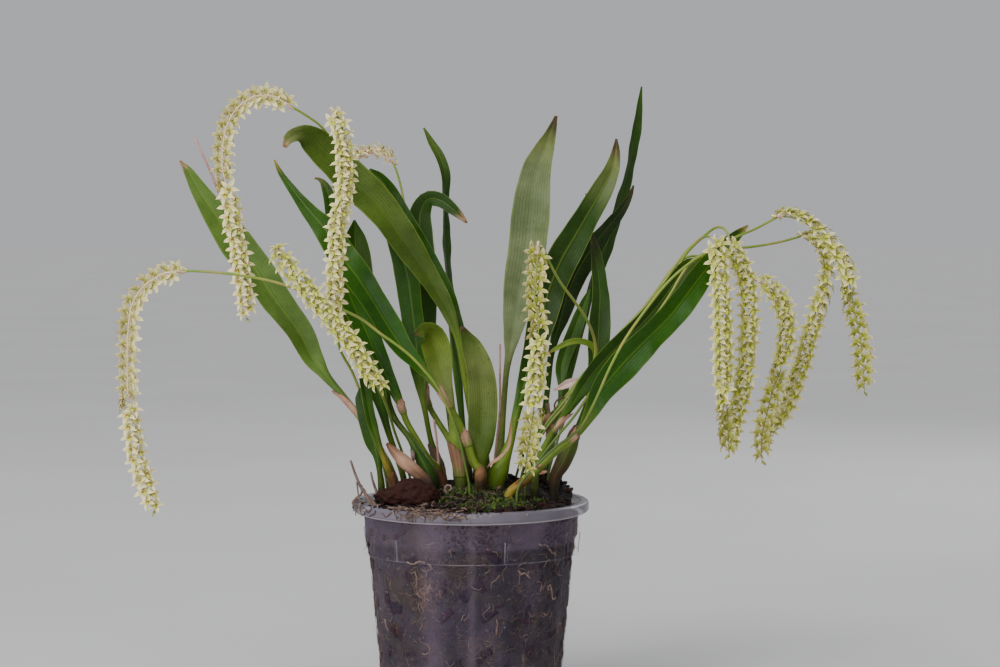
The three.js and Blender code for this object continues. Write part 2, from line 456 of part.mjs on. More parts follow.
// Flower stalks, from the mix to where the chain begins, and the chains from there to their tips. face
// says how far the open side of the flowers is turned from the front, in degrees, along the chain.
const SPRAYS = [
  {
    stalk: [
      [-1, 127, -21], [-3.5, 140, -22], [-7, 155, -22.5], [-11, 166, -23.5], [-17, 179.5, -25],
      [-27, 192.6, -25.5], [-34, 199.8, -25], [-42.4, 206.4, -25], [-49.5, 211.3, -25], [-59.4, 219, -24],
      [-67.7, 223.4, -24], [-94, 235, -24], [-107.8, 239.9, -24], [-131.5, 244.3, -24],
      [-154.6, 246, -24], [-159.9, 245.6, -24],
    ],
    chain: [
      [-160.6, 245.4, -24], [-168.3, 244.9, -24], [-174.4, 241.6, -24], [-179.9, 237.7, -24],
      [-186.5, 227.3, -25], [-188.7, 212.4, -26], [-189.2, 202, -26], [-189.2, 181.6, -27],
      [-187.6, 164.6, -28], [-184.8, 145.9, -29], [-179.3, 126.6, -30], [-174.4, 112.3, -30],
    ],
    face: [120, 110, 90, 30, 0, 0],
  },
  {
    stalk: [
      [0, 128, 15], [0, 150, 12], [-1.5, 175, 10], [-4, 192, 10.5], [-9, 215, 12], [-22, 243, 15],
      [-35, 262, 16], [-48, 280, 17], [-62, 297, 18], [-73.7, 313, 17], [-81.4, 324.6, 13],
      [-93, 333, 8], [-99.6, 336.5, 6],
    ],
    chain: [
      [-100.1, 336.7, 6], [-106.7, 341.1, 4], [-111.7, 342.2, 3], [-118.3, 341.7, 1], [-122.7, 339.5, 0],
      [-128.7, 334.5, -2], [-134.2, 324.1, -2], [-136.4, 303.2, -2], [-132.6, 287.8, -2],
      [-130.4, 271.3, -2], [-127.1, 254.2, -2], [-124.9, 237.7, -2], [-123.2, 218.5, -2],
    ],
    face: [120, 130, 130, 40, 0, 0],
  },
  {
    stalk: [
      [-46.5, 128, -5], [-51, 148, -6], [-56.5, 166, -5], [-60.5, 177.8, -4], [-65.5, 190.4, -6],
      [-72, 202.5, -14], [-74, 214, -22], [-75, 226, -29], [-75, 245, -29], [-73.5, 262, -29],
      [-71, 285, -30], [-69, 310, -30], [-71, 326, -31], [-74.5, 333, -35],
    ],
    chain: [
      [-75, 332.2, -37.5], [-71.5, 323.5, -40], [-69.3, 315.3, -41], [-69.3, 304.3, -41],
      [-68.8, 296, -41], [-70.4, 285, -41], [-72, 276.8, -41], [-73.7, 265.8, -41], [-73.7, 254.8, -41],
      [-74.8, 243.8, -41], [-74.8, 232.8, -41], [-75.9, 224.5, -41], [-77.6, 213.5, -41],
    ],
    face: [0, 0, 0],
  },
  {
    stalk: [
      [-33, 128, -5], [-37, 143, -6], [-42, 157, -13], [-46, 170, -28], [-51, 182, -42], [-58, 194, -48],
      [-68, 208.5, -48], [-80, 222, -46.5], [-90, 235, -44], [-98.5, 246.5, -42], [-105, 254.5, -44],
      [-107.3, 257, -49.5],
    ],
    chain: [
      [-107, 256.6, -52], [-105, 253.9, -55.3], [-100.6, 247.6, -57], [-96.3, 243.8, -57], [-92.4, 239.4, -57],
      [-88.6, 233.9, -57], [-83, 227.3, -57], [-75.9, 217.9, -58], [-69.3, 210.8, -58],
      [-59.4, 195.9, -58], [-55.6, 190.4, -58], [-47.9, 178.9, -57],
    ],
    face: [0, 0, 0],
  },
  {
    stalk: [
      [-9, 128, 26], [-12, 160, 34], [-17, 195, 42], [-24, 230, 50], [-31, 258, 55], [-35.8, 278.4, 58],
      [-38, 290.5, 60], [-40.5, 300, 61], [-42.9, 305.8, 62],
    ],
    chain: [
      [-43.5, 306.3, 62], [-51, 310, 63], [-59.5, 308.5, 64], [-66.5, 302.5, 65], [-70.5, 292, 66],
      [-71.5, 272, 66],
    ],
    face: [120, 100, 80],
  },
  {
    stalk: [
      [42, 129, -2], [45.5, 145, 0], [50.5, 161, 1], [56, 173, 2], [64, 187, 2], [68.5, 200, -1],
      [68, 208, -6], [63.8, 219, -18], [57.2, 229, -30], [49, 240, -42], [43.5, 250, -50],
      [40, 257.5, -55], [37.5, 259, -57.6],
    ],
    chain: [
      [36.9, 258.3, -59], [36.5, 251, -60], [35.7, 243.7, -60], [35.2, 230.5, -60], [36.3, 224, -60],
      [37.2, 212, -60], [36.6, 200, -60], [35.2, 180.5, -60], [34.6, 169.5, -60], [33, 158.5, -60],
      [30.5, 142, -60], [29.7, 132.1, -60],
    ],
    face: [180, 180, 60, 0, 0, -60, -180],
  },
  {
    stalk: [
      [30, 128, -4], [34, 145, -4], [42, 160, -6], [52, 172, -8], [62, 185, -11], [73, 198.5, -13],
      [84, 210, -14], [95, 221, -14], [104, 232.5, -13.5], [112, 245, -13], [118, 255, -14],
      [124, 261.5, -20], [129, 265, -32], [133.5, 264, -46],
    ],
    chain: [
      [134.5, 262, -49], [135.9, 250.9, -50], [138.1, 230, -50], [138.6, 208, -50], [139.2, 191.5, -50],
      [140.8, 175, -50], [141.9, 158.5, -50], [142.5, 143.1, -50],
    ],
    face: [0, 0, 0, 0, 120, 180],
  },
  {
    stalk: [
      [27, 128, 5], [32, 146, 2], [41, 161, -1], [51, 173.5, -3], [61.5, 187, -5.5], [72.5, 200.5, -8],
      [83.5, 212, -9], [94, 223, -9.5], [103, 234.5, -9.5], [111, 247, -9], [119, 257.5, -9],
      [129, 266, -12], [135, 270, -20], [140, 268.5, -30], [142.3, 263, -36],
    ],
    chain: [
      [142.5, 260.8, -37], [146.3, 253.1, -37], [150.7, 244.9, -37], [152.9, 229.5, -37],
      [152.9, 214, -37], [151.8, 199.2, -37], [150.2, 183.8, -37], [146.9, 170.6, -37],
      [144.1, 160.2, -37], [143.6, 147.5, -37],
    ],
    face: [0, 0, 0],
  },
  {
    stalk: [
      [24, 128, 13], [30, 147, 9], [40, 162, 5], [50, 174, 1], [61, 188, -1], [72, 201, -3.5],
      [83, 213, -4.5], [93.5, 224, -5], [102.5, 235.5, -5], [110.5, 247, -4.5], [120, 254, -3],
      [133, 252, -1], [146, 246.5, -2], [156, 241.5, -5], [159, 240.2, -6],
    ],
    chain: [
      [159.5, 239.9, -6.5], [166.1, 235.5, -8], [171, 227.3, -8], [174.4, 217.4, -8], [173.3, 204.2, -8],
      [170.5, 191, -8], [166.1, 179.4, -8], [163.4, 168.4, -8], [160.6, 155.2, -8], [160.6, 139.8, -8],
    ],
    face: [-20, 0, 40, 180, 180, 180],
  },
  {
    stalk: [
      [26, 126, -29.5], [36.5, 139, -31], [47, 149, -33], [56, 155.5, -35], [61, 160.5, -36.5],
      [68.2, 173.9, -39], [77, 193.7, -40], [85.3, 209.1, -40], [98.5, 227.8, -39], [108.9, 240.5, -38],
      [121, 250.9, -36], [127.1, 254.7, -34], [145.2, 264.4, -28], [157, 269.5, -20], [168, 275.5, -15],
    ],
    chain: [
      [169, 276, -14.5], [177.7, 275.1, -14], [185.4, 271.3, -14], [193.6, 264.1, -14],
      [200.8, 255.9, -14], [205.7, 246.5, -14], [209, 235.5, -14], [211.8, 221.2, -14],
      [214, 211.3, -14], [215.6, 198.7, -14], [217, 178, -14],
    ],
    face: [-110, -90, -60, -40, -30],
  },
  {
    stalk: [
      [30, 127, -17], [38, 142, -18.5], [47, 154, -20.5], [57, 166, -23], [68, 182, -25.5], [79, 195, -27],
      [90, 207, -27.5], [100, 219, -27], [109, 232, -26], [116, 244, -24], [122, 252, -21.5],
      [133, 257, -14], [145, 258.5, -8], [155.1, 259.4, -4], [170, 262, 2], [181, 265, 6],
    ],
    chain: [
      [182.6, 265.2, 7], [191.4, 257, 8], [194.7, 247.6, 8], [193.6, 237.7, 8], [190.9, 227.3, 8],
      [188.1, 217.4, 8], [185.4, 205.8, 8], [182.6, 194.8, 8], [179.3, 184.9, 8], [176.6, 175.6, 8],
      [171.1, 165.1, 8], [166.1, 157.4, 8], [162.3, 148.1, 8],
    ],
    face: [-90, -40, 0, 20, 60],
  },
];

// The chunk of bark: where its middle is, half its length, depth and height, and its outline from the left
// end to the right one: the place along it, the share of its full depth and height, and how far it sags
const BARK_MIDDLE = [-35.5, 123.1, -28];
const BARK_HALF = [17.2, 6.4, 8];
const BARK_OUTLINE = [
  [-1, 0.35, -3], [-0.7, 0.5, -2.6], [-0.42, 0.6, -2.2], [-0.25, 0.85, -0.8], [0.1, 1, 0], [0.5, 0.98, 0],
  [0.8, 0.85, -1], [1, 0.7, -2],
];
const BARK_LUMP = 0.07;
const BARK_SQUARENESS = 0.75;
const BARK_AROUND = 14;
const BARK_RINGS = 8;
const BARK_SEED = 7;

// Height of the heap of mix, before its lumps, at a place in the pot
function mixHeight(x, y) {
  const share = Math.min(Math.hypot(x, y) / LEDGE_RADIUS, 1);
  return MIX_EDGE_HEIGHT + MIX_HEAP * (1 - share * share);
}

// The line of a shoot or a stalk, carried straight down from its first point into the mix
function rootedLine(rows) {
  const foot = placed(rows[0]);
  foot.z = mixHeight(foot.x, foot.y) - ROOTED_DEPTH;
  const points = [foot, ...rows.map(placed)];
  return new THREE.CatmullRomCurve3(points, false, 'centripetal');
}

// A shoot: rings of six points, left, middle and right of the upper face and back along the lower one.
// The bulb and the leaf stalk are nearly round, and the blade is a thin channel with waved edges.
function shootGeometry({ rows, stemRows, wave }, grow = 0) {
  const line = rootedLine(rows);
  const reach = rows.map(([, , depth]) => 1 + depth / -EYE.y);
  const rooted = (values) => valuesThrough([values[0], ...values]);
  const halfWidth = rooted(rows.map((row, i) => row[3] * reach[i]));
  const turn = rooted(rows.map((row) => row[4]));
  const bladeShare = rooted(rows.map((row, i) => THREE.MathUtils.clamp((i - stemRows + 1) / 2, 0, 1)));
  const rings = Math.round(line.getLength() / LEAF_STEP) + 1;
  const points = [];
  for (let ring = 0; ring < rings; ring += 1) {
    const share = ring / (rings - 1);
    const t = line.getUtoTmapping(share);
    const centre = line.getPoint(t);
    const along = line.getTangent(t);
    const view = towardsEye(along, centre);
    centre.addScaledVector(along, ring === 0 ? -grow : 0);
    const angle = radians(turn(t));
    const across = new THREE.Vector3().crossVectors(along, view).multiplyScalar(Math.cos(angle))
      .addScaledVector(view, -Math.sin(angle));
    const up = new THREE.Vector3().crossVectors(across, along);
    const half = Math.max(halfWidth(t), LEAST_HALF_WIDTH) + grow;
    const blade = THREE.MathUtils.clamp(bladeShare(t), 0, 1);
    const roundness = Math.max(half * STEM_FLATNESS, BLADE_THICKNESS / 2 + grow);
    const shaped = ring === rings - 1 ? 0 : blade;
    const middle = THREE.MathUtils.lerp(roundness, BLADE_THICKNESS / 2 + grow, shaped);
    const edge = THREE.MathUtils.lerp(roundness / 2, BLADE_THICKNESS / 2 + grow, shaped);
    const sink = -CHANNEL * 2 * half * shaped;
    const ripple = wave * shaped * Math.min(1, half / FULL_WAVE_HALF_WIDTH);
    const swing = line.getLength() * share / WAVE_STEP;
    const lift = [ripple * Math.sin(swing), sink, ripple * Math.sin(swing + WAVE_LAG)];
    const upper = [[-half, edge + lift[0]], [0, middle + lift[1]], [half, edge + lift[2]]];
    const lower = [[half, lift[2] - edge], [0, lift[1] - middle], [-half, lift[0] - edge]];
    [...upper, ...lower].forEach(([aside, above]) => {
      const corner = centre.clone().addScaledVector(across, aside).addScaledVector(up, above);
      points.push(corner.toArray());
    });
  }
  return geometryOf(points, loftFaces(rings, 6, [3, 4]));
}

// A stalk: a thin round stem of an even thickness, its rings carried along without a twist
function stalkGeometry(rows, radius, grow = 0) {
  const line = rootedLine(rows);
  const rings = Math.round(line.getLength() / STALK_STEP) + 1;
  const front = new THREE.Vector3(0, -1, 0);
  const points = [];
  for (let ring = 0; ring < rings; ring += 1) {
    const t = line.getUtoTmapping(ring / (rings - 1));
    const centre = line.getPoint(t);
    const along = line.getTangent(t);
    front.addScaledVector(along, -front.dot(along)).normalize();
    const side = new THREE.Vector3().crossVectors(along, front);
    centre.addScaledVector(along, ring === 0 ? -grow : 0);
    for (let corner = 0; corner < STALK_SIDES; corner += 1) {
      const angle = corner * 2 * Math.PI / STALK_SIDES;
      const point = centre.clone().addScaledVector(front, (radius + grow) * Math.cos(angle))
        .addScaledVector(side, (radius + grow) * Math.sin(angle));
      points.push(point.toArray());
    }
  }
  return geometryOf(points, loftFaces(rings, STALK_SIDES));
}

// A flower is a five-pointed star with a raised middle. It grows out of one facet of the chain's axis:
// rim holds the star's ten points, corners the facet's four, and each rim edge is tied to one corner.
const RIM_CORNERS = [3, 3, 3, 0, 0, 1, 1, 2, 2, 2];
const CORNER_TURNS = [[3, 0, 3], [0, 1, 5], [1, 2, 7], [2, 3, 0]];

function addFlower(points, faces, corners, centre, outward, along, size) {
  const nod = radians(FLOWER_NOD);
  const facing = outward.clone().multiplyScalar(Math.cos(nod)).addScaledVector(along, -Math.sin(nod));
  const upward = along.clone().multiplyScalar(Math.cos(nod)).addScaledVector(outward, Math.sin(nod));
  const across = new THREE.Vector3().crossVectors(upward, facing);
  const first = points.length;
  for (let i = 0; i < STAR_CORNERS; i += 1) {
    const isTip = i % 2 === 0;
    const reach = size * (isTip ? TEPAL_REACH : NOTCH_REACH);
    const angle = Math.PI / 2 + i * 2 * Math.PI / STAR_CORNERS;
    const point = centre.clone().addScaledVector(across, reach * Math.cos(angle))
      .addScaledVector(upward, reach * Math.sin(angle))
      .addScaledVector(facing, isTip ? 0 : -NOTCH_SETBACK * size);
    points.push(point.toArray());
  }
  const lip = points.length;
  points.push(centre.clone().addScaledVector(facing, LIP_RISE * size).toArray());
  for (let i = 0; i < STAR_CORNERS; i += 1) {
    const here = first + i;
    const next = first + (i + 1) % STAR_CORNERS;
    faces.push([next, here, corners[RIM_CORNERS[i]]], [here, next, lip]);
  }
  CORNER_TURNS.forEach(([from, to, rim]) => {
    faces.push([corners[from], corners[to], first + rim]);
  });
}

// A chain of flowers on a three-sided axis. Flowers stand by turns on its two front facets, and the
// open side of the chain turns slowly about the axis as it hangs.
function chainGeometry({ chain, face }) {
  const line = lineThrough(chain);
  const faceAt = valuesThrough(face);
  const steps = Math.round(line.getLength() / FLOWER_STEP);
  const points = [];
  const faces = [];
  const frameAt = (share) => {
    const t = line.getUtoTmapping(share);
    const centre = line.getPoint(t);
    const along = line.getTangent(t);
    const view = towardsEye(along, centre);
    const angle = radians(faceAt(share));
    const front = view.clone().multiplyScalar(Math.cos(angle))
      .addScaledVector(new THREE.Vector3().crossVectors(along, view), Math.sin(angle));
    return { centre, along, front, side: new THREE.Vector3().crossVectors(along, front) };
  };
  for (let step = 0; step <= steps; step += 1) {
    const { centre, front, side } = frameAt(step / steps);
    [0, 1, 2].forEach((corner) => {
      const angle = corner * 2 * Math.PI / 3;
      const point = centre.clone().addScaledVector(front, AXIS_RADIUS * Math.cos(angle))
        .addScaledVector(side, AXIS_RADIUS * Math.sin(angle));
      points.push(point.toArray());
    });
  }
  faces.push([0, 2, 1], [steps * 3, steps * 3 + 1, steps * 3 + 2]);
  for (let step = 0; step < steps; step += 1) {
    const flowerFacet = step % 2 === 0 ? 2 : 0;
    for (let facet = 0; facet < 3; facet += 1) {
      const a = step * 3 + facet;
      const b = step * 3 + (facet + 1) % 3;
      if (facet !== flowerFacet) {
        faces.push([a, b, b + 3], [a, b + 3, a + 3]);
        continue;
      }
      const { centre, along, front, side } = frameAt((step + 0.5) / steps);
      const hand = facet === 0 ? 1 : -1;
      const left = steps - step;
      const size = Math.min(1, CHAIN_TIP_SCALE + left * CHAIN_GROWTH);
      const turned = radians(FLOWER_TURN);
      const middle = centre.clone().addScaledVector(front, FLOWER_FORWARD * size)
        .addScaledVector(side, hand * FLOWER_ASIDE * size);
      const outward = front.clone().multiplyScalar(Math.cos(turned))
        .addScaledVector(side, hand * Math.sin(turned));
      addFlower(points, faces, [a, b, b + 3, a + 3], middle, outward, along, size);
    }
  }
  return geometryOf(points, faces);
}

// Bark mix: its side follows the pot's inner wall, and its top is a lumpy heap
function makeMix(sockets) {
  const random = randomFrom(MIX_SEED);
  const clear = POT_WALL + GAP;
  const wall = [
    [BASE_RADIUS - clear, POT_FLOOR + GAP], [LEDGE_RADIUS - clear, LEDGE_HEIGHT - 1],
    [LEDGE_RADIUS + MIX_EDGE_FLARE - clear, MIX_EDGE_HEIGHT],
  ];
  const topRadius = wall[2][0];
  const points = [[0, 0, POT_FLOOR + GAP]];
  const ringOf = (radius, heightAt) => {
    for (let side = 0; side < POT_SIDES; side += 1) {
      const angle = side * 2 * Math.PI / POT_SIDES;
      const x = radius * Math.cos(angle);
      const y = radius * Math.sin(angle);
      points.push([x, y, heightAt(x, y)]);
    }
  };
  wall.forEach(([radius, height]) => ringOf(radius, () => height));
  [...MIX_TOP_RINGS].reverse().forEach((share) => {
    ringOf(topRadius * share, (x, y) => mixHeight(x, y) + MIX_LUMP * (2 * random() - 1));
  });
  const crown = points.length;
  points.push([0, 0, mixHeight(0, 0)]);
  const faces = [];
  const rings = wall.length + MIX_TOP_RINGS.length;
  for (let side = 0; side < POT_SIDES; side += 1) {
    const next = (side + 1) % POT_SIDES;
    faces.push([0, 1 + next, 1 + side]);
    for (let ring = 0; ring < rings - 1; ring += 1) {
      const a = 1 + ring * POT_SIDES + side;
      const b = 1 + ring * POT_SIDES + next;
      faces.push([a, b, b + POT_SIDES], [a, b + POT_SIDES, a + POT_SIDES]);
    }
    const last = 1 + (rings - 1) * POT_SIDES;
    faces.push([last + side, last + next, crown]);
  }
  let mix = solidOf(geometryOf(points, faces));
  sockets.forEach((socket) => {
    mix = mix.subtract(solidOf(socket));
  });
  addPiece('potting_mix', geometryFrom(mix), BARK_MIX);
}

// The share and the sag of the chunk's outline at a place along it
function outlineAt(place) {
  const next = Math.max(BARK_OUTLINE.findIndex(([at]) => at >= place), 1);
  const [from, to] = [BARK_OUTLINE[next - 1], BARK_OUTLINE[next]];
  const share = (place - from[0]) / (to[0] - from[0]);
  return [1, 2].map((column) => THREE.MathUtils.lerp(from[column], to[column], share));
}

// A chunk of bark that lies on the mix in front of the clump: a squarish ball, tapered by its outline
function barkGeometry(grow = 0) {
  const random = randomFrom(BARK_SEED);
  const geometry = new THREE.SphereGeometry(1, BARK_AROUND, BARK_RINGS);
  geometry.deleteAttribute('normal');
  geometry.deleteAttribute('uv');
  const chunk = mergeVertices(geometry, WELD);
  const position = chunk.attributes.position;
  const middle = placed(BARK_MIDDLE);
  for (let i = 0; i < position.count; i += 1) {
    const swell = 1 - BARK_LUMP * random();
    const ball = [position.getX(i), position.getY(i), position.getZ(i)];
    const [x, y, z] = ball.map((value) => Math.sign(value) * Math.abs(value) ** BARK_SQUARENESS);
    const [size, sag] = outlineAt(x);
    const scales = [swell, swell * size, swell * size];
    const corner = [x, y, z].map((value, axis) => {
      return value * scales[axis] * BARK_HALF[axis] + Math.sign(value) * grow;
    });
    position.setXYZ(i, corner[0], corner[1], corner[2] + sag);
  }
  return chunk.translate(middle.x, middle.y, middle.z);
}

const twoDigits = (number) => String(number).padStart(2, '0');

makePot();
const sockets = [barkGeometry(GAP)];
addPiece('bark_chunk', barkGeometry(), BARK);

SHOOTS.forEach((shoot, index) => {
  addPiece(`leafy_shoot_${twoDigits(index + 1)}`, shootGeometry(shoot), LEAF_GREEN);
  sockets.push(shootGeometry(shoot, GAP));
});

const sheath = { rows: SHEATH_ROWS, stemRows: SHEATH_ROWS.length, wave: 0 };
addPiece('dry_sheath', shootGeometry(sheath), DRY_SHEATH);
sockets.push(shootGeometry(sheath, GAP));

OLD_STALKS.forEach((rows, index) => {
  addPiece(`old_stalk_${index + 1}`, stalkGeometry(rows, OLD_STALK_RADIUS), DRY_SHEATH);
  sockets.push(stalkGeometry(rows, OLD_STALK_RADIUS, GAP));
});

SPRAYS.forEach((spray, index) => {
  const { stalk } = spray;
  addPiece(`flower_stalk_${twoDigits(index + 1)}`, stalkGeometry(stalk, STALK_RADIUS), STALK_GREEN);
  addPiece(`flower_chain_${twoDigits(index + 1)}`, chainGeometry(spray), FLOWER_CREAM);
  sockets.push(stalkGeometry(stalk, STALK_RADIUS, GAP));
});

makeMix(sockets);

export default plant;
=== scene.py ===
# A potted necklace orchid with chains of small cream flowers, in a clear flower pot full of bark mix.
import json
import math
from functools import cached_property

import bpy
import numpy as np
from mathutils import Matrix, Vector

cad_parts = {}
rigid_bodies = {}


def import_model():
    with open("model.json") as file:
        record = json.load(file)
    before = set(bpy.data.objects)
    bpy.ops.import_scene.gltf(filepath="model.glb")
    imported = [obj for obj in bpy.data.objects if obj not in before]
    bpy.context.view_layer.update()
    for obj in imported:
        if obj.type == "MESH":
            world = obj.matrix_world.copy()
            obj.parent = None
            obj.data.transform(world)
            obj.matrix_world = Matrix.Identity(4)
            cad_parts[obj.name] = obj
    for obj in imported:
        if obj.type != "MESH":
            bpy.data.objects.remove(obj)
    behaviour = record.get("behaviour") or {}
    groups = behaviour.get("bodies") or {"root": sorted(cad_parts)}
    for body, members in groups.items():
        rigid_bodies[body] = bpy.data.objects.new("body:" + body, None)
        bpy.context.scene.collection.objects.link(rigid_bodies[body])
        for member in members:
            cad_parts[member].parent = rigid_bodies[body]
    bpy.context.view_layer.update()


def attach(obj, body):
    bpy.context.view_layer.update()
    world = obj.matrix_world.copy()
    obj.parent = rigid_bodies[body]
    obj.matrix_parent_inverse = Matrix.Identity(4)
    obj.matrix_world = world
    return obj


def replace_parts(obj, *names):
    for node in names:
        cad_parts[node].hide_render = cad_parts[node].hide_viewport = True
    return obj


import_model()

# View: from in front, level with the upper leaves and tipped down a little, through a long lens.
# The eye is also the point that the layout of the leaves and the flowers is given from.
MM = 0.001
EYE = np.array([16, -1300, 272]) * MM
VIEW_DIP = 2.66
VIEW_LENS = 85.1

bpy.ops.object.select_all(action="DESELECT")
bpy.ops.object.camera_add(location=EYE, rotation=(math.radians(90 - VIEW_DIP), 0, 0))
camera = bpy.context.object
camera.name = "camera"
camera.data.lens = VIEW_LENS
camera.data.sensor_width = 36
camera.data.clip_start = 0.05
bpy.context.scene.camera = camera


# Pot: a 13 cm orchid pot blown from thin frosted plastic. Its wall is spun from one profile, with a rim
# band, a stacking ledge with six short ribs above it, and drain holes in the foot.
def linear(red, green, blue):
    """A colour given as it looks on screen, 0 to 255, in the values that a shader takes."""
    shares = [value / 255 for value in (red, green, blue)]
    return tuple(c / 12.92 if c <= 0.04045 else ((c + 0.055) / 1.055) ** 2.4 for c in shares) + (1,)


POT_WALL_OUTSIDE = [
    (0, 0), (49, 0), (50, 1), (57.8, 90), (59.5, 91.7), (60.8, 104), (61.75, 113.2),
    (64, 114), (65, 115), (65, 119), (64, 120),
]
POT_WALL_INSIDE = [
    (61.1, 120), (60.5, 119), (58.9, 99.5), (58.3, 98.7), (57.9, 92.7), (56.5, 89.6), (48.7, 2.2), (0, 2.2),
]
POT_SPIN_STEPS = 144
POT_EDGE_ROUNDING = 0.35
POT_EDGE_ANGLE = 28
POT_SMOOTH_ANGLE = 32
RIB_LOW, RIB_HIGH = 91.7, 104
RIB_FIRST_ANGLE = -71.25
RIB_COUNT = 6
RIB_PROUD = 0.5
RIB_INSET = 0.45
RIB_EDGE = (0.4, 1.1)
LEDGE_EDGE = (91.2, 92.3)
RIB_PITCH = 360 / RIB_COUNT
DRAIN_HOLES = 6
DRAIN_RADIUS = 4
DRAIN_CIRCLE = 32
DRILL_LENGTH = 10
RIM_FOOT = 113.4
RIM_LIP_GLOW = (114, 114.6)
HAZE_BAND_FOOT = 98
HAZE_BAND_SOFTNESS = 2
STREAK_STRETCH = 0.25
# Bands down the wall where the plastic is more opaque: how far each is turned from the front, half its width,
# both in degrees, and how opaque it is. The first two are painted highlights, put where the left softbox and
# the front strip are seen reflected from the front; the last, narrow one is a mould line; the rest are faint
# milky bands
WALL_HAZE_AND_HIGHLIGHT_BANDS = [
    (-21, 12, 0.085), (1, 4, 0.06), (-62, 9, 0.02), (36, 8, 0.01), (140, 10, 0.03), (-120, 8, 0.02),
    (61.5, 0.9, 0.12),
]
POT_TINT = linear(206, 178, 214)
POT_SCUFF_TINT = linear(232, 206, 218)
EDGE_HIGHLIGHT_DIM = linear(120, 112, 126)
EDGE_HIGHLIGHT_BRIGHT = linear(168, 160, 170)
RIM_SHADE = linear(92, 87, 100)
RIM_LIGHT = linear(124, 116, 128)
RIM_LIP_HIGHLIGHT = linear(196, 184, 190)
RIM_EARTH = linear(104, 80, 58)


class Finish:
    """A material, built up node by node round its main shader."""

    def __init__(self, name, **sockets):
        self.material = bpy.data.materials.new(name)
        self.material.use_nodes = True
        self.shader = self.material.node_tree.nodes["Principled BSDF"]
        for socket, value in sockets.items():
            self.shader.inputs[socket.replace("_", " ")].default_value = value

    def node(self, kind, inputs, **settings):
        """One shader node. inputs gives each socket, by name or number, a value or another node's output."""
        node = self.material.node_tree.nodes.new("ShaderNode" + kind)
        for key, value in settings.items():
            setattr(node, key, value)
        for key, value in inputs.items():
            if isinstance(value, bpy.types.NodeSocket):
                self.material.node_tree.links.new(value, node.inputs[key])
            else:
                node.inputs[key].default_value = value
        return node

    @cached_property
    def place(self):
        """The place on a piece, in metres."""
        return self.node("TexCoord", {}).outputs["Object"]

    @cached_property
    def height(self):
        """The height on a piece, in metres."""
        return self.node("SeparateXYZ", {0: self.place}).outputs[2]

    def painted(self, name, output="Fac"):
        """What a piece's own attribute holds."""
        return self.node("Attribute", {}, attribute_name=name).outputs[output]

    def grain(self, scale, detail=4, roughness=0.55, distortion=0.0, place=None):
        """Soft cloudy noise, with its size in patches per metre."""
        inputs = {"Vector": place or self.place, "Scale": scale, "Detail": detail}
        inputs |= {"Roughness": roughness, "Distortion": distortion}
        return self.node("TexNoise", inputs).outputs["Fac"]

    def graded(self, share, low, high, to_low=0.0, to_high=1.0, **settings):
        """share stretched so that low becomes to_low and high becomes to_high, and held there outside."""
        inputs = {"Value": share, "From Min": low, "From Max": high, "To Min": to_low, "To Max": to_high}
        return self.node("MapRange", inputs, **settings).outputs["Result"]

    def patches(self, low, high, scale, detail=4, roughness=0.55, to_low=0.0, to_high=1.0, place=None):
        """Noise graded so that only what lies between low and high is soft."""
        return self.graded(self.grain(scale, detail, roughness, 0.0, place), low, high, to_low, to_high)

    def blended(self, share, first, second, mode="MIX"):
        """One colour over another, by a share."""
        inputs = {0: share, 6: first, 7: second}
        return self.node("Mix", inputs, data_type="RGBA", blend_type=mode).outputs[2]

    def sums(self, operation, first, second=0.0):
        """One sum with two values, or with one."""
        return self.node("Math", {0: first, 1: second}, operation=operation).outputs[0]

    def times(self, first, second):
        return self.sums("MULTIPLY", first, second)

    def plus(self, first, second):
        return self.sums("ADD", first, second)

    def apart(self, first, second):
        """How far two values are from each other."""
        return self.sums("ABSOLUTE", self.sums("SUBTRACT", first, second))

    def raised(self, height, strength, depth, under=None):
        """A bump of that height field, depth metres deep, on top of another bump."""
        inputs = {"Height": height, "Strength": strength, "Distance": depth}
        if under is not None:
            inputs["Normal"] = under
        return self.node("Bump", inputs).outputs["Normal"]

    def wire(self, socket, source):
        """Lets a node's output drive a socket of the main shader."""
        self.material.node_tree.links.new(source, self.shader.inputs[socket])


def new_mesh(name, points, faces, smooth=True):
    """An object at the origin with that mesh, in metres."""
    mesh = bpy.data.meshes.new(name)
    mesh.from_pydata([tuple(p) for p in points], [], [tuple(f) for f in faces])
    mesh.update()
    mesh.shade_smooth() if smooth else mesh.shade_flat()
    piece = bpy.data.objects.new(name, mesh)
    bpy.context.scene.collection.objects.link(piece)
    return piece


def around(reach, angle, height):
    """The place at that reach from the pot's axis, that angle and that height."""
    return np.stack(np.broadcast_arrays(reach * np.cos(angle), reach * np.sin(angle), height), axis=-1)


def work_on(piece):
    """Only this piece is selected and active."""
    bpy.ops.object.select_all(action="DESELECT")
    piece.select_set(True)
    bpy.context.view_layer.objects.active = piece


def spun(name, profile, steps):
    """A shell of revolution about Z, from a profile in millimetres that starts and ends on the axis."""
    points = [(radius * MM, 0, height * MM) for radius, height in profile]
    mesh = bpy.data.meshes.new(name)
    mesh.from_pydata(points, [(i, i + 1) for i in range(len(points) - 1)], [])
    piece = bpy.data.objects.new(name, mesh)
    bpy.context.scene.collection.objects.link(piece)
    work_on(piece)
    bpy.ops.object.mode_set(mode="EDIT")
    bpy.ops.mesh.select_all(action="SELECT")
    bpy.ops.mesh.spin(steps=steps, angle=2 * math.pi, center=(0, 0, 0), axis=(0, 0, 1))
    bpy.ops.mesh.select_all(action="SELECT")
    bpy.ops.mesh.remove_doubles(threshold=1e-6)
    bpy.ops.mesh.normals_make_consistent(inside=False)
    bpy.ops.object.mode_set(mode="OBJECT")
    return piece


